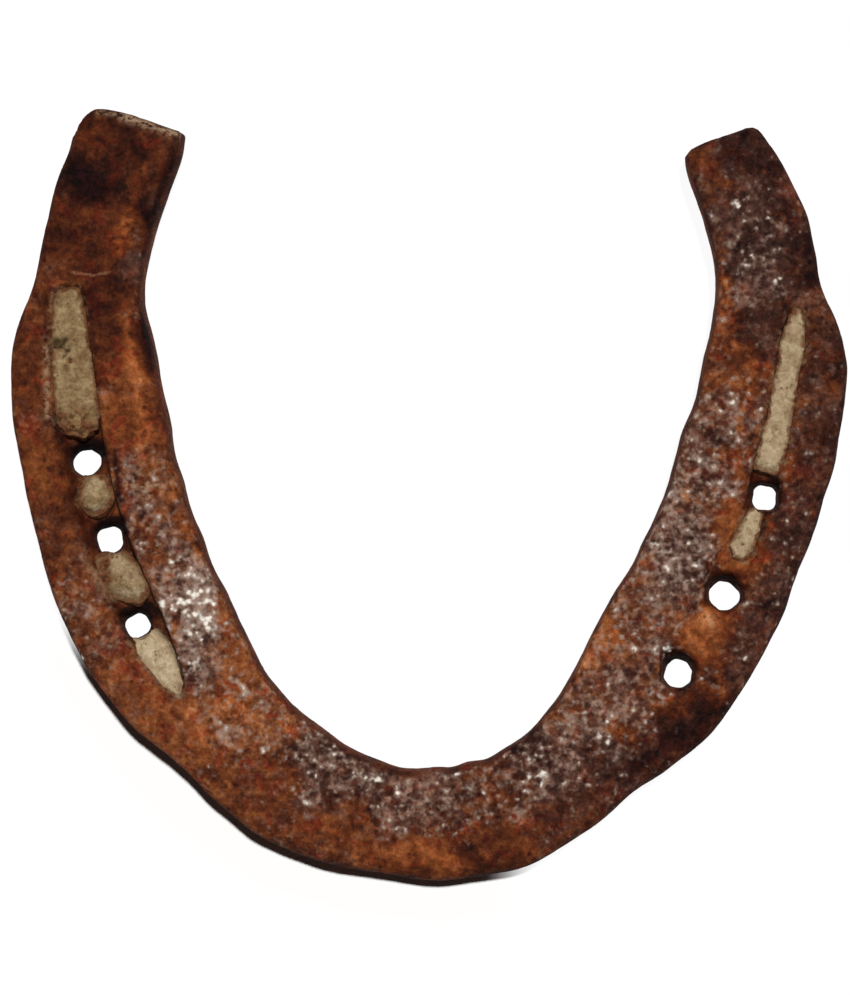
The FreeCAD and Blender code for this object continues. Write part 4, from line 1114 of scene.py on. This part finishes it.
# ---------------------------------------------------------------------------
# Stage, light, camera
# ---------------------------------------------------------------------------
# Plain paper along the toe's outer left edge: x, y, radius
PAPER = [(-65.0, -19.0, 6.0), (-58.5, -31.0, 6.5), (-51.0, -41.0, 8.0),
         (-40.0, -51.5, 9.5), (-26.0, -60.5, 9.5), (-11.0, -65.5, 9.0),
         (3.0, -67.0, 8.0), (20.0, -65.0, 7.0)]
GLOW = 0.95             # light given off by the floor away from the paper
WHITE = 1.02            # glow and reflectance of the floor together

EYE = (21.776, -0.495, 428.5)
AIM = (0.176, -0.495, 8.5)


def floor_material():
    g = Graph("pale_floor")
    paper = g.attribute("paper")[0]
    plan = g.vector("MULTIPLY", g.mm, (1, 1, 0))
    # the floor seen through each nail hole glows fully
    under = None
    for hole in HOLES:
        dist = g.vector("DISTANCE", plan, (*hole, 0), output="Value")
        disc = g.fade(dist, near=3.4, far=5.2)
        under = disc if under is None else g.math("MAXIMUM", under, disc)
    glow = g.math("MAXIMUM", (1.0 - paper) * GLOW, under * WHITE)
    base = g.ease(paper, low=0.0, high=1.0, start=WHITE - GLOW, kind="LINEAR")
    grey = g.made("CombineColor", {0: base, 1: base, 2: base}, 0)
    g.surface(Base_Color=grey, Roughness=0.9, Specular_IOR_Level=0.0,
              Emission_Color=(1, 1, 1, 1), Emission_Strength=glow)
    return g.material


def make_floor():
    """A glowing floor like a light table, with faint shadows except on the paper."""
    mesh = bpy.data.meshes.new("floor")
    lines = np.concatenate([[-1600, -600, -250, -120], np.arange(-90, 91, 1.5),
                            [120, 250, 600, 1600]])
    count = len(lines)
    x, y = np.meshgrid(lines, lines)
    points = np.stack([x.ravel(), y.ravel(), np.zeros(count * count)], 1)
    corner = np.arange(count - 1)[None, :] + count * np.arange(count - 1)[:, None]
    faces = np.stack([corner, corner + 1, corner + count + 1, corner + count], 2)
    mesh.from_pydata((points * MM).tolist(), [], faces.reshape(-1, 4).tolist())
    paper = np.zeros(len(points))
    for (x0, y0, r0), (x1, y1, r1) in zip(PAPER[:-1], PAPER[1:]):
        dist, t = capsule(points, x0, y0, x1, y1)
        radius = r0 + (r1 - r0) * t
        paper = np.maximum(paper, fade(dist, radius * 0.6, radius))
    # the paper ends softly toward the heels and toward the right
    paper *= ease(-points[:, 1], 20.5, 31.0) * ease(-points[:, 0], -19.5, -10.0)
    paint(mesh, "paper", np.repeat(paper[:, None], 4, 1))
    floor = add_object("floor", mesh)
    floor.location.z = -0.00002
    mesh.materials.append(floor_material())


def make_world():
    """White to the camera, nearly dark as a light."""
    world = bpy.data.worlds.new("studio")
    bpy.context.scene.world = world
    world.use_nodes = True
    tree = world.node_tree
    background = tree.nodes["Background"]
    background.inputs["Color"].default_value = (1.0, 1.0, 1.0, 1)
    path = tree.nodes.new("ShaderNodeLightPath")
    strength = tree.nodes.new("ShaderNodeMapRange")
    tree.links.new(path.outputs["Is Camera Ray"], strength.inputs["Value"])
    strength.inputs["To Min"].default_value = 0.010
    strength.inputs["To Max"].default_value = 1.0
    tree.links.new(strength.outputs["Result"], background.inputs["Strength"])


def add_sun(name, energy, spread, tilt, azimuth):
    """A sun; angles in degrees, tilt from straight up, azimuth from +x."""
    sun = bpy.data.lights.new(name, "SUN")
    sun.energy = energy
    sun.angle = math.radians(spread)
    lamp = add_object(name, sun)
    tilt, azimuth = math.radians(tilt), math.radians(azimuth)
    away = Vector((math.sin(tilt) * math.cos(azimuth),
                   math.sin(tilt) * math.sin(azimuth), math.cos(tilt)))
    lamp.rotation_euler = away.to_track_quat("Z", "Y").to_euler()
    lamp.location = away
    return lamp


def make_lights(pieces):
    key = add_sun("key", energy=3.35, spread=4.0, tilt=22.0, azimuth=66.0)
    key.data.color = (1.0, 0.99, 0.975)
    # a weak shadowless fill from the other side, on the shoe and soil only
    fill = add_sun("fill", energy=0.58, spread=60.0, tilt=42.0, azimuth=210.0)
    fill.data.use_shadow = False
    lit = bpy.data.collections.new("filled_pieces")
    for piece in pieces:
        lit.objects.link(piece)
    fill.light_linking.receiver_collection = lit


def make_camera():
    """Looks down on the shoe, with the heels at the top of the frame."""
    lens = bpy.data.cameras.new("cam")
    camera = add_object("cam", lens)
    eye = Vector(EYE) * MM
    ahead = (Vector(AIM) * MM - eye).normalized()
    right = ahead.cross(Vector((0, 1, 0))).normalized()
    above = right.cross(ahead)
    rows = [(right[k], above[k], -ahead[k], eye[k]) for k in range(3)]
    camera.matrix_world = Matrix((*rows, (0, 0, 0, 1)))
    lens.sensor_width = 36.0
    lens.sensor_fit = "AUTO"
    lens.lens = 90.842
    lens.clip_start = 0.01
    lens.clip_end = 10.0
    bpy.context.scene.camera = camera


def set_view():
    view = bpy.context.scene.view_settings
    view.view_transform = "Standard"
    view.look = "None"
    view.exposure = 0.0
    view.gamma = 1.0


pieces = [make_bar()]
soil = soil_material()
for node in sorted(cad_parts):
    if node != "shoe_bar":
        pieces.append(make_lump(node, soil))
make_floor()
make_world()
make_lights(pieces)
make_camera()
set_view()
bpy.context.view_layer.update()
